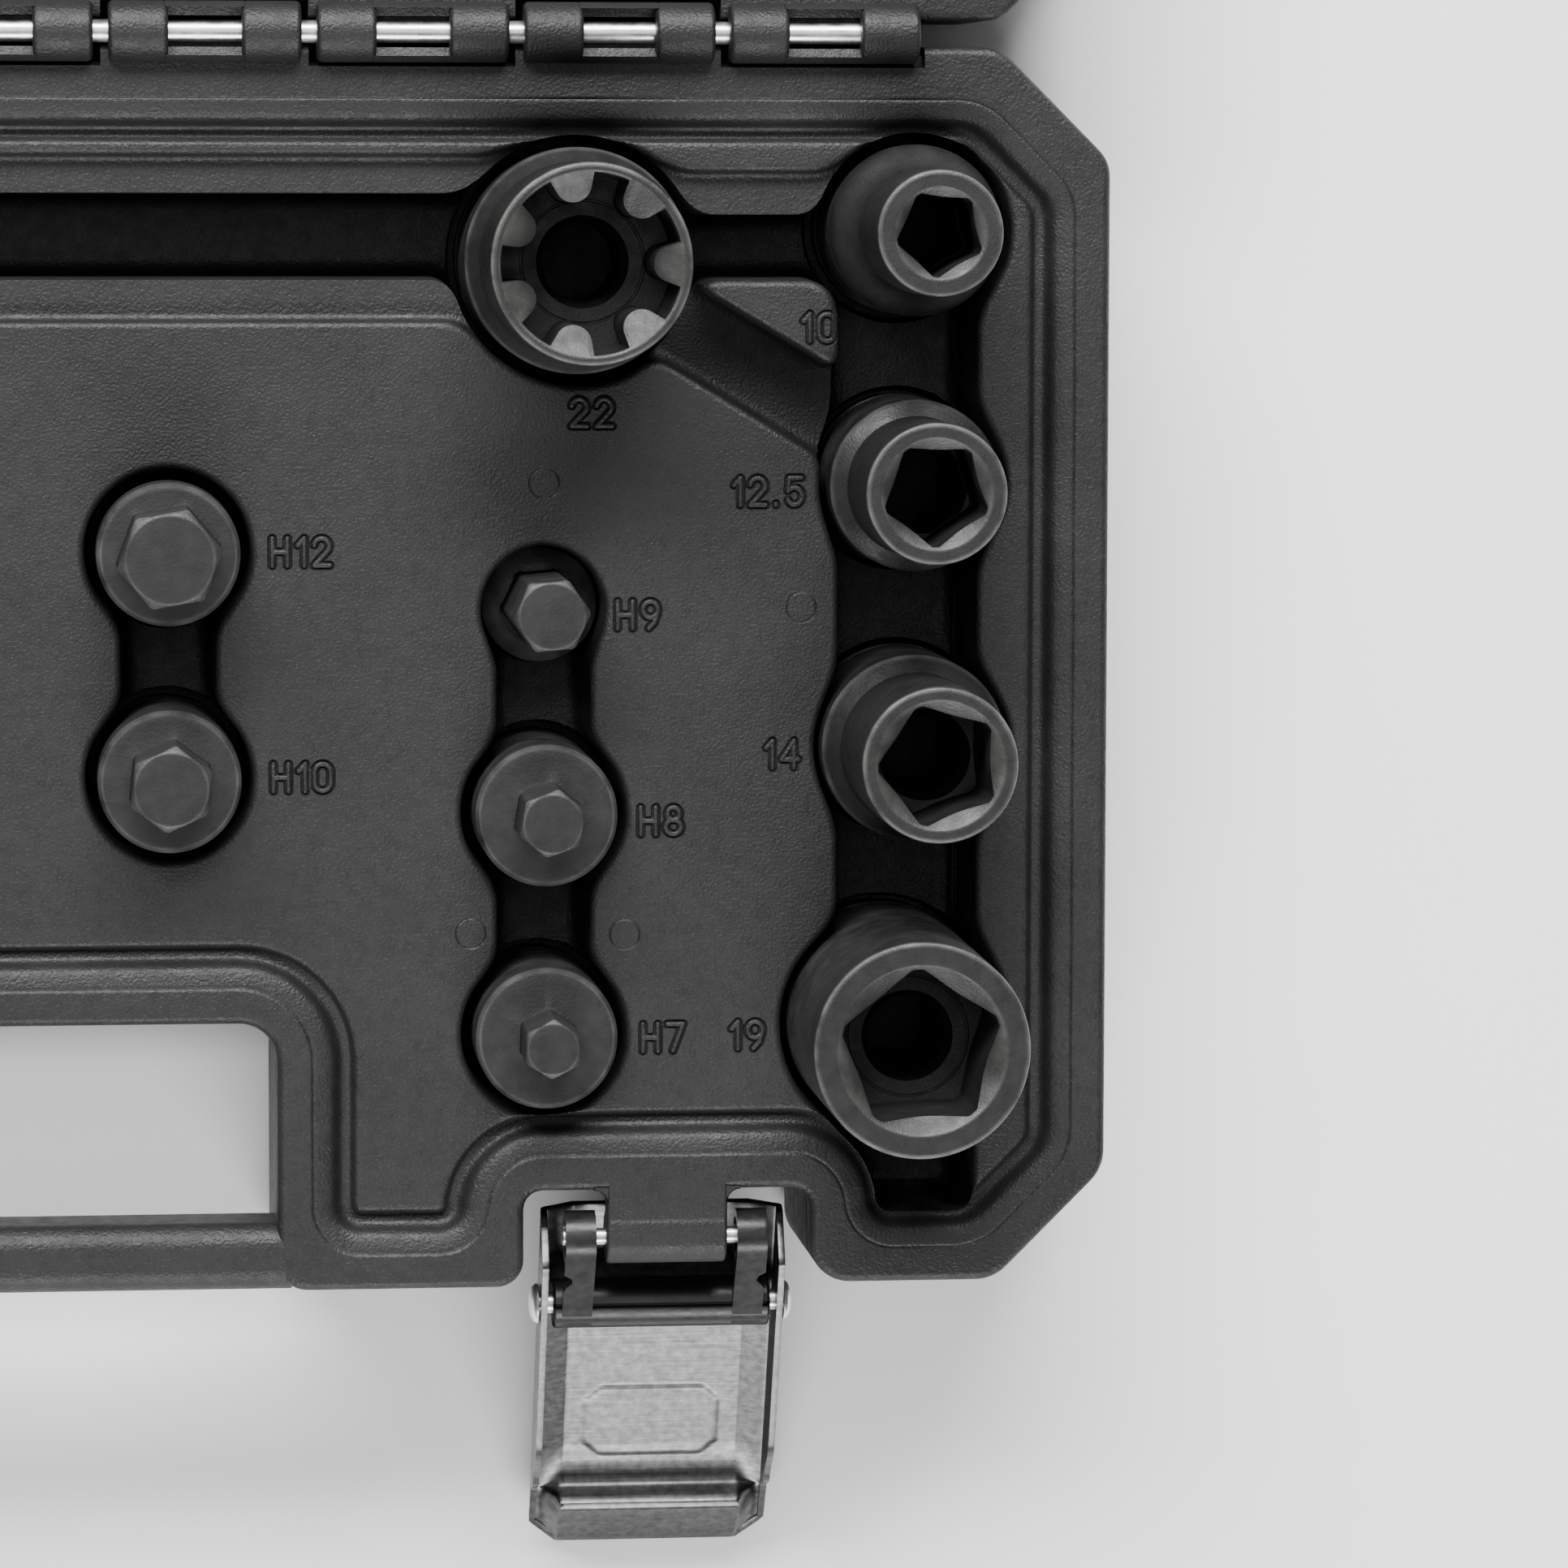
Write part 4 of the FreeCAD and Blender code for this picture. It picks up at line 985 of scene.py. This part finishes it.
def add_shell(shape):
    inner = level_chains(outline_field, SHELL_WALL, 0.03)
    outer = level_chains(outline_field, [k[0] for k in SHELL_KNOTS[:-1]] + PANEL_D, 0.02)
    points, faces, row = field_mesh(OUTLINE, inner, shell_inside)
    points[row, :2] = inset_row(points[row][:, :2], 0.45)
    first = shape.add(points, faces)
    low, low_faces, low_row = field_mesh(OUTLINE, outer, shell_underside)
    low_first = shape.add(low, [f[::-1] for f in low_faces])
    edge = low[low_row][:, :2]
    start = int(np.argmin(np.hypot(*(OUTLINE[0] - points[row][:, :2]).T)))
    low_start = int(np.argmin(np.hypot(*(OUTLINE[0] - edge).T)))
    row, low_row = np.roll(row, -start), np.roll(low_row, -low_start)
    edge = low[low_row][:, :2]
    rows = [first + row]
    for z, inset in ((SEAM - 0.12, 0.3), (SEAM - 0.45, 0.0), (SEAM - 8.0, 0.0), (12.0, 0.0)):
        begin = shape.add(np.column_stack([inset_row(edge, inset), np.full(len(edge), z)]), [])
        rows.append(begin + np.arange(len(edge)))
    rows.append(low_first + low_row)
    for a, b in zip(rows, rows[1:]):
        shape.join(a, b)


base_shell = Shape()
add_shell(base_shell)
base_shell.build("base_shell_moulding", PLASTIC, "base", "case_plastic", replaces=["base_outer_shell"])

# ------------------------------------------------------------------------------- lid
TO_LID = Matrix.Translation((0, 2 * HINGE_Y * MM, 0)) @ Matrix.Rotation(math.pi, 4, "Z")
LID_OWN = tuple(KNUCKLES - 1 - i for i in (0, 2, 4, 6, 8))
LID_FLOOR = 6.0
LID_D = [-0.6, -0.25, 0.0, 0.3, 0.55, 0.85, 1.2, 2.3, 2.6, 3.4, 4.6, 6.0, 7.4]
LID_Z = [35.85, 35.78, 35.6, 35.2, 34.7, 33.6, 31.0, 13.5, 11.6, 9.0, 7.2, 6.3, 6.0]
RAISED_D = [16.0, 16.6, 17.6, 18.2]
RAISED_Z = [0.0, 0.2, 1.1, 1.3]
lid_field = polygon_distance(LID_EDGE, GX, GY)


def lid_height(x, y):
    inner = polygon_distance(LID_EDGE, x, y)
    edge = polygon_distance(OUTLINE, x, y)
    z = np.interp(inner, LID_D, LID_Z) + np.interp(inner, RAISED_D, RAISED_Z)
    z = z + at_knots(edge, OUTER_KNOTS)
    return np.minimum(z, room_height(x, y, LID_OWN))


def lid_under(x, y):
    inner = polygon_distance(LID_EDGE, x, y)
    return np.interp(inner, [-1.4, -1.2], [SEAM, LID_FLOOR - 2.0])


lid_skin = Shape()
closed_slab(
    lid_skin, OUTLINE,
    (level_chains(outline_field, [k[0] for k in OUTER_KNOTS[:-1]])
     + level_chains(lid_field, LID_D + RAISED_D) + room_chains(LID_OWN), lid_height),
    (level_chains(lid_field, [-1.4, -1.2], 0.05), lid_under),
    SKIRT,
)
add_knuckles(lid_skin, LID_OWN)
add_grip(lid_skin)
lid_skin.build("lid_pan_moulding", PLASTIC, "lid", "case_plastic", TO_LID, ["lid_inner_skin"])

lid_shell = Shape()
add_shell(lid_shell)
for side in (1, -1):
    back = -HALF_D + BAY_DEPTH
    catch = rounded([(back + 1.0, 18.4), (back + 1.0, 28.0), (back - 7.6, 28.0), (back - 7.6, 25.2),
                     (back - 4.6, 24.4), (back - 4.6, 20.6), (back - 2.0, 18.4)],
                    [0, 0.6, 1.0, 0.8, 0.8, 1.2, 0.6], 0.4)
    extrude_x(lid_shell, catch, side * LATCH_X - 10.0, side * LATCH_X + 10.0, 0.6)
lid_shell.build("lid_shell_moulding", PLASTIC, "lid", "case_plastic", TO_LID, ["lid_outer_shell"])


# ---------------------------------------------------------------------- sockets and bits
# Width of the square drive and depth of its hole.
DRIVES = {"bit": (9.55, 11.0), "socket": (12.75, 14.0), "lobe": (12.75, 14.0)}
RECESS_DEPTH = 16.0


def polygon_radius(sides, corner, count, bulge, cut):
    """Radius at each angle of a regular polygon whose sides swell inwards a little."""
    angle = np.arange(count) * 2 * math.pi / count
    step = 2 * math.pi / sides
    off = (angle + step / 2) % step - step / 2
    off = step / 2 - np.abs(off)
    inner = corner * math.cos(math.pi / sides)
    side_r = (inner - bulge * np.cos(off * sides / 2) ** 2) / np.cos(off)
    return np.minimum(side_r, corner - cut)


def lobe_radius(lobes, outer, count, circle=10.6, tooth=2.45):
    angle = np.arange(count) * 2 * math.pi / count
    step = 2 * math.pi / lobes
    off = (angle + step / 2) % step - step / 2
    reach = tooth**2 - (circle * np.sin(off)) ** 2
    hit = circle * np.cos(off) - np.sqrt(np.maximum(reach, 0))
    return np.where(reach > 0, np.minimum(hit, outer), outer)


def square_radius(half, count, turn, cut=0.5):
    angle = np.radians(turn) + np.arange(count) * 2 * math.pi / count
    side = half / np.maximum(np.abs(np.cos(angle)), np.abs(np.sin(angle)))
    return np.minimum(side, half * math.sqrt(2) - cut)


def eased(r0, z0, r1, z1, steps):
    """Rings of a shoulder in a soft S."""
    turns = [i / steps for i in range(steps + 1)]
    return [(r0 + (r1 - r0) * (1 - math.cos(math.pi * t)) / 2, z0 + (z1 - z0) * t) for t in turns]


def bit_rings(name, body, bottom, top, drive, depth, count):
    """Rings of the drive hole, and rings from the foot's groove up to the tip."""
    _, sides, _, corner, neck, shoulder, neck_start, _ = TOOLS[name]
    hole = [(0.6, bottom + depth - 0.3, 0), (drive, bottom + depth, 0), (drive, bottom + 0.5, 0)]
    rings = [(body, shoulder - 0.15, 0.2), (body - 0.12, shoulder + 0.12, 0.5),
             (neck + 0.1, neck_start - 0.06, 0.5), (neck - 0.3, neck_start, 0.04)]
    shank = polygon_radius(sides, corner, count, 0.0, 0.12)
    foot = corner + 0.45
    if neck - 0.6 > foot:
        rings += [(neck - (neck - foot) * 0.35, neck_start + 0.02, 0.03), (foot, neck_start, 0.04)]
    rings += [(shank + 0.12, neck_start + 0.12, 0), (shank, neck_start + 0.5, 0)]
    tip = corner * math.cos(math.pi / sides) * 0.96
    rings += [(shank, top - 0.08 - (shank - tip) * 0.62, 0.25),
              (shank - (shank - tip) * 0.5, top - (shank - tip) * 0.31, 0.2),
              (tip, top - 0.02, 0.4), (tip - 0.25, top, 0.05), (tip * 0.5, top, 0.03)]
    return hole, rings


def socket_rings(name, body, bottom, top, drive, depth, count):
    """No rings before the foot; then up the outside, over the mouth and down to the drive hole."""
    kind, sides, _, corner, neck, shoulder, neck_start, _ = TOOLS[name]
    soft = name in ("socket_10", "socket_11")
    stepped = shoulder - bottom < 45
    rings = []
    if stepped and soft:
        rings = [(body, shoulder - 0.6, 0.02)]
        rings += [(r, z, 0.02) for r, z in eased(body, shoulder, neck, neck_start, 9)]
    elif stepped:
        rings = [(body, shoulder - 0.5, 0.02), (body - 0.03, shoulder - 0.1, 0.4),
                 (body - 0.16, shoulder + 0.1, 0.55),
                 (body - (body - neck) * 0.3, shoulder + (neck_start - shoulder) * 0.3, 0.03),
                 (neck + 0.04, neck_start - 0.05, 0.02), (neck, neck_start + 0.3, 0)]
    rim = neck if stepped else body - 0.2
    rings += [(rim, top - 0.8, 0.02), (rim, top - 0.5, 0.3), (rim - 0.15, top - 0.18, 1.0),
              (rim - 0.5, top, 0.35), (rim - 0.75, top, 0.03)]
    if kind == "lobe":
        inner = lobe_radius(sides, corner, count)
        mouth = corner + 0.15
        drop = np.where(inner < corner - 0.05, 0.9 + (corner - inner) * 0.3, 0.25)
    else:
        bulge, cut = (0.021 * corner, 0.045 * corner) if sides == 5 else (0.06, 0.15)
        inner = polygon_radius(sides, corner, count, bulge, cut)
        mouth = corner - 0.1
        drop = 0.12 + np.maximum(mouth - inner, 0) * 0.75
    rings += [(mouth + 0.45, top, 0.03), (mouth + 0.22, top, 0.12), (mouth, top - 0.12, 0.45),
              (np.minimum(inner, mouth), top - drop, 0.06 if kind == "socket" else 0.0),
              (inner - 0.05, top - drop - 0.25, 0)]
    floor = top - RECESS_DEPTH
    rings += [(inner, floor + 0.3, 0), (inner - 0.2, floor, 0)]
    rings += [(np.minimum(r, inner - 0.25), floor - d, 0) for r, d in
              ((8.3, 0), (8.2, 0.3), (7.95, 0.3), (7.85, 0.05), (6.1, 0.05), (5.2, 1.6))]
    rings += [(np.minimum(5.2, inner - 0.25), bottom + depth + 0.6, 0), (5.6, bottom + depth, 0),
              (drive, bottom + depth, 0), (drive, bottom + 0.5, 0.2)]
    return [], rings


def make_tool(name):
    kind, sides, turn = TOOLS[name][:3]
    low, high = span(name)
    body, bottom, top = (high[0] - low[0]) / 2, low[2], high[2]
    count = 252 if sides == 7 else 240
    width, depth = DRIVES[kind]
    drive = square_radius(width / 2, count, turn)
    band = bottom + 5.0
    foot = [(drive + 0.45, bottom, 0), (body - 0.7, bottom, 0.2), (body - 0.2, bottom + 0.2, 0.5),
            (body, bottom + 0.7, 0.2), (body, band, 0.5), (body - 0.2, band + 0.1, 0.2),
            (body - 0.75, band + 0.7, 0), (body - 0.75, band + 2.1, 0), (body - 0.2, band + 2.7, 0.2),
            (body, band + 2.8, 0.5)]
    rings = bit_rings if kind == "bit" else socket_rings
    before, after = rings(name, body, bottom, top, drive, depth, count)
    shape = Shape()
    lathe(shape, before + foot + after, turn, wrap=kind != "bit")
    x, y = CENTRE[name][:2]
    shape.build(name + "_forged", STEEL, name, "phosphated_steel", shift(x, y, 0), [name], 30)


for tool in TOOLS:
    make_tool(tool)


# --------------------------------------------------------------------------- pins
def rod(name, radius, x0, x1, y, z, body, node, ends=0.35):
    """A bright rod along X with softly rounded ends."""
    shape = Shape()
    steps = [0, 20, 45, 70, 90]
    rings = [(radius - ends + ends * math.sin(math.radians(a)), ends - ends * math.cos(math.radians(a)))
             for a in steps]
    length = x1 - x0
    rings += [(r, length - d) for r, d in rings[::-1]]
    lathe(shape, [(np.full(48, r), d) for r, d in rings])
    to_x = Matrix.Rotation(math.pi / 2, 4, "Y")
    return shape.build(name, BRIGHT, body, "bright_steel", shift(x0, y, z) @ to_x, [node])


low, high = span("hinge_pin")
rod("hinge_pin_rod", 1.5, low[0], high[0], HINGE_Y, HINGE_Z, "base", "hinge_pin")


# ------------------------------------------------------------------------------ latches
DROOP_LINK, DROOP_LEVER = math.radians(35.4), math.radians(25.5)
LINK_LENGTH = math.hypot(PIVOT[1] - RIVET[1], PIVOT[2] - RIVET[2])
SHEET_ANGLE = 32


def thicken(made, thickness, bevel, even=True):
    """Give a sheet its thickness, and soften its cut edges."""
    solid = made.modifiers.new("thickness", "SOLIDIFY")
    solid.thickness = thickness * MM
    solid.offset = 0.0
    solid.use_even_offset = even
    edge = made.modifiers.new("edges", "BEVEL")
    edge.width = bevel * MM
    edge.segments = 2
    edge.limit_method = "ANGLE"
    edge.angle_limit = math.radians(50)
    dg = bpy.context.evaluated_depsgraph_get()
    mesh = bpy.data.meshes.new_from_object(made.evaluated_get(dg))
    made.modifiers.clear()
    made.data = mesh
    smooth(mesh, SHEET_ANGLE)
    return made


def join(made, others):
    """Adds other objects' meshes to one object, all of them in the row frame."""
    grown = bmesh.new()
    for item in [made] + others:
        grown.from_mesh(item.data)
    name = made.data.name
    mesh = bpy.data.meshes.new(name)
    grown.to_mesh(mesh)
    grown.free()
    for slot in made.data.materials:
        mesh.materials.append(slot)
    smooth(mesh, SHEET_ANGLE)
    made.data = mesh
    for item in others:
        bpy.data.objects.remove(item)
    return made


def latch_place(x, point, droop):
    return shift(x, point[1], point[2]) @ Matrix.Rotation(droop, 4, "X")


BARREL, BARREL_HALF, ARM_X, ARM_HALF, ARM_Z, EYE = 3.4, 14.7, 11.55, 2.05, 2.72, 3.0


def make_link(word, x):
    """Two strap arms with rolled eyes, and the wide rolled barrel they grow from."""
    where = latch_place(x, PIVOT, DROOP_LINK)
    barrel = Shape()
    ring = []
    for a in list(range(0, 46, 5)) + [48, 49.5, 50, 55, 59, 59.5, 61, 63] + list(range(65, 360, 5)):
        dip = 0.85 if 49.8 <= a <= 59.2 else 0.12 if 49 < a < 60 else 0.0
        r, t = BARREL - dip, math.radians(a)
        ring.append((-LINK_LENGTH + r * math.cos(t), r * math.sin(t)))
    extrude_x(barrel, ring, -BARREL_HALF, BARREL_HALF, 0.45)
    made = barrel.build("latch_link_" + word + "_strap", COAT, "link_" + word, "black_coated_steel", where,
                        ["latch_link_" + word])
    arms = []
    path = [(-LINK_LENGTH - 1.2, 2.75), (-LINK_LENGTH, 2.8), (-LINK_LENGTH + 1.5, ARM_Z)]
    for y in np.linspace(-LINK_LENGTH + 3.0, -0.6, 12):
        path.append((y, ARM_Z + (EYE - ARM_Z) * (y + LINK_LENGTH - 3.0) / (LINK_LENGTH - 3.6)))
    path += [(EYE * math.cos(a), EYE * math.sin(a)) for a in np.radians(np.arange(90, -216, -12))]
    path = np.array(path)
    for side in (1, -1):
        sheet = Shape()
        columns = [-ARM_HALF, -1.0, 0.0, 1.0, 1.6, ARM_HALF]
        points, faces = [], []
        for y, z in path:
            on_top = z > 1.0
            bite = max(0.0, 1.0 - ((y + 5.2) / 1.15) ** 2) ** 0.5 * 1.15 if on_top else 0.0
            for c in columns:
                points.append((side * (ARM_X + min(c, ARM_HALF - bite)), y, z))
        n = len(columns)
        for i in range(len(path) - 1):
            for k in range(n - 1):
                a = i * n + k
                faces.append((a, a + 1, a + n + 1, a + n) if side == 1 else (a, a + n, a + n + 1, a + 1))
        sheet.add(points, faces)
        arm = sheet.build("arm_" + word + str(side), COAT, "link_" + word, "black_coated_steel", where)
        clean = bmesh.new()
        clean.from_mesh(arm.data)
        bmesh.ops.remove_doubles(clean, verts=clean.verts, dist=1e-6)
        bmesh.ops.recalc_face_normals(clean, faces=clean.faces)
        clean.to_mesh(arm.data)
        clean.free()
        arms.append(thicken(arm, 1.15, 0.18))
    return join(made, arms)


# The lever in its own frame: heights of its web, bend and side walls, their half widths, the
# length of the sloping strip between them, and the curled hook as (distance, height).
WEB_Z, BEND_Z, WALL_Z = -5.3, -4.0, 3.3
FLANGE_X, FLAT = 16.0, 11.9
SLOPE = math.hypot(FLANGE_X - FLAT, BEND_Z - WEB_Z)
HOOK = [(27.5, -5.3), (29.0, -5.22), (30.5, -5.0), (31.8, -4.65), (32.9, -4.15), (33.5, -3.6),
        (33.8, -2.9), (33.95, -2.0), (34.1, -1.2), (34.4, -0.72), (34.9, -0.58), (35.4, -0.7),
        (35.9, -1.02), (38.0, -2.1), (41.0, -3.7), (43.6, -5.05)]
HOOK_START, HOOK_HALF, TIP_CHAMFER = 33.1, 12.2, 39.7


def lever_surface(across, along):
    """Middle of the lever's sheet: across is a length round the section, along runs forward."""
    wall = WALL_Z
    if along < -8.2:
        wall = -2.6 + (along + 12.8) / 4.6 * 5.9
    elif along > 30.6:
        wall = 0.2 - (along - 30.6) * 1.1
    elif along > 22.0:
        wall = WALL_Z - 3.1 * (1 - math.cos((along - 22.0) / 8.6 * math.pi)) / 2
    side = 1 if across > 0 else -1
    s = abs(across)
    if s <= FLAT:
        x, z = s, WEB_Z
    elif s <= FLAT + SLOPE:
        t = (s - FLAT) / SLOPE
        x, z = FLAT + (FLANGE_X - FLAT) * t, WEB_Z + (BEND_Z - WEB_Z) * t
    else:
        t = min(1.0, (s - FLAT - SLOPE) / (WALL_Z - BEND_Z))
        x, z = FLANGE_X, BEND_Z + (wall - BEND_Z) * t
    return side * x, z


def panel_step(x, along):
    """The pressed eight-sided panel in the lever's web."""
    px, py = abs(x) - 9.2, abs(along - 23.4) - 5.7
    d = max(px, py, (px + py + 2.2) / math.sqrt(2))
    return 0.2 * (1 - min(1.0, max(0.0, (d + 0.30) / 0.45)))


def lever_point(s, d):
    """Point of the lever's sheet: pressed channel, curled hook and formed front corners."""
    px, z = lever_surface(s, min(d, HOOK_START))
    if d > HOOK_START:
        z += (WEB_Z - z) * (d - HOOK_START) / 12.5
    beyond = max(0.0, abs(px) - HOOK_HALF)
    if beyond and d > TIP_CHAMFER:
        px = math.copysign(HOOK_HALF + beyond * (1 - 0.97 * (d - TIP_CHAMFER) / 3.9), px)
    rise = float(np.interp(d, [h[0] for h in HOOK], [h[1] for h in HOOK])) - WEB_Z
    z += panel_step(px, d) + rise * max(0.0, 1 - beyond / 3.6) ** 2
    return px, -d, z


def make_lever(word, x):
    """The bright lever: a pressed channel with a curled hook, from one sheet."""
    side_s = [FLAT + SLOPE * t for t in (0.0, 0.07, 0.16, 0.28, 0.42, 0.56, 0.7, 0.85, 0.93, 1.0)]
    wall_s = [FLAT + SLOPE + (WALL_Z - BEND_Z) * t for t in (0.05, 0.15, 0.4, 0.7, 0.92, 1.0)]
    web = list(np.arange(-11.6, 11.61, 0.4))
    across = [-s for s in wall_s[::-1]] + [-s for s in side_s[::-1]] + web + side_s + wall_s
    along = list(np.arange(-12.8, 32.1, 0.4)) + [32.3, 32.7, HOOK_START]
    along += [h[0] for h in HOOK if h[0] > HOOK_START] + [36.8, 39.0, TIP_CHAMFER, 40.3, 42.3]
    along.sort()
    n = len(across)
    points = [lever_point(s, d) for d in along for s in across]
    # Painted shade: the hook's front face, forward of 35.2 mm, is marked for the darker colour in the lever's
    # material.
    hook_painted_shade = [min(1.0, max(0.0, (d - 35.2) / 0.5)) if abs(s) < 12.3 else 0.0
            for d in along for s in across]
    faces = [(i * n + k, i * n + k + 1, i * n + n + k + 1, i * n + n + k)
             for i in range(len(along) - 1) for k in range(n - 1)]
    sheet = Shape()
    sheet.add(points, faces, hook_painted_shade)
    where = latch_place(x, RIVET, DROOP_LEVER)
    made = sheet.build("latch_lever_" + word + "_pressing", LEVER, "lever_" + word, "brushed_lever", where,
                       ["latch_lever_" + word])
    return thicken(made, 0.85, 0.14, even=False)


def make_rivet(word, x):
    """Shank and two domed heads."""
    shape = Shape()
    half = 16.6
    dome = [(0.9, 1.25), (1.7, 1.12), (2.3, 0.85), (2.65, 0.45), (2.75, 0.12), (2.6, 0.0)]
    rings = [(0.3, -half - 1.3)] + [(r, -half - h) for r, h in dome] + [(1.45, -half)]
    rings += [(r, -z) for r, z in rings[::-1]]
    lathe(shape, [(np.full(48, r), z) for r, z in rings])
    to_x = Matrix.Rotation(math.pi / 2, 4, "Y")
    return shape.build("latch_rivet_" + word, BRIGHT, "lever_" + word, "bright_steel",
                       shift(x, RIVET[1], RIVET[2]) @ to_x, ["latch_rivet_pin_" + word])


for side, word in ((1, "right"), (-1, "left")):
    make_link(word, side * LATCH_X)
    make_lever(word, side * LATCH_X)
    make_rivet(word, side * LATCH_X)
    low, high = span("latch_pivot_pin_" + word)
    rod("latch_pivot_" + word, 1.15, low[0], high[0], PIVOT[1], PIVOT[2], "base",
        "latch_pivot_pin_" + word, 0.25)


# ------------------------------------------------------------------- floor, light, camera
def stage():
    mesh = bpy.data.meshes.new("floor")
    corners = ((-4, -4), (4, -4), (4, 4), (-4, 4))
    mesh.from_pydata([(x, y, -0.0004) for x, y in corners], [], [(0, 1, 2, 3)])
    floor = bpy.data.objects.new("floor", mesh)
    bpy.context.scene.collection.objects.link(floor)
    pale = bpy.data.materials.new("pale_floor")
    pale.use_nodes = True
    shader = pale.node_tree.nodes["Principled BSDF"]
    shader.inputs["Base Color"].default_value = (0.93, 0.93, 0.93, 1)
    shader.inputs["Roughness"].default_value = 0.9
    mesh.materials.append(pale)


def area_light(name, place, target, size, power):
    light = bpy.data.lights.new(name, "AREA")
    light.shape = "RECTANGLE"
    light.size, light.size_y = size
    light.energy = power
    item = bpy.data.objects.new(name, light)
    item.location = place
    item.rotation_euler = (Vector(target) - Vector(place)).to_track_quat("-Z", "Y").to_euler()
    bpy.context.scene.collection.objects.link(item)


stage()
area_light("light_back", (-0.2, 1.6, 1.35), (0, 0.05, 0), (2.4, 0.7), 150)
area_light("light_front", (0.1, -1.6, 1.15), (0, 0, 0), (2.0, 0.4), 55)
area_light("light_top", (-0.2, 0.3, 2.2), (0, 0, 0), (1.2, 1.2), 8)

world = bpy.data.worlds.new("world")
world.use_nodes = True
world.node_tree.nodes["Background"].inputs["Color"].default_value = (1, 1, 1, 1)
world.node_tree.nodes["Background"].inputs["Strength"].default_value = 0.08
bpy.context.scene.world = world

# Place and aim fitted to the estimated view of the photo, without a camera shift.
CAMERA_AT = Vector((4.0, 70.3, 935.85)) * MM
CAMERA_AIM = Vector((103.8, -15.2, 35.85)) * MM
CAMERA_ROLL = -0.00824
back = (CAMERA_AT - CAMERA_AIM).normalized()
right = (Vector((1, 0, 0)) - back * back.x).normalized()
upward = back.cross(right)
turned_right = right * math.cos(CAMERA_ROLL) + upward * math.sin(CAMERA_ROLL)
turned_up = back.cross(turned_right)
camera_data = bpy.data.cameras.new("camera")
camera_data.lens = 156.3
camera_data.sensor_width = 36
camera_data.clip_start, camera_data.clip_end = 0.05, 20
camera = bpy.data.objects.new("camera", camera_data)
camera.matrix_world = Matrix((
    (turned_right.x, turned_up.x, back.x, CAMERA_AT.x),
    (turned_right.y, turned_up.y, back.y, CAMERA_AT.y),
    (turned_right.z, turned_up.z, back.z, CAMERA_AT.z),
    (0, 0, 0, 1),
))
bpy.context.scene.collection.objects.link(camera)
bpy.context.scene.camera = camera
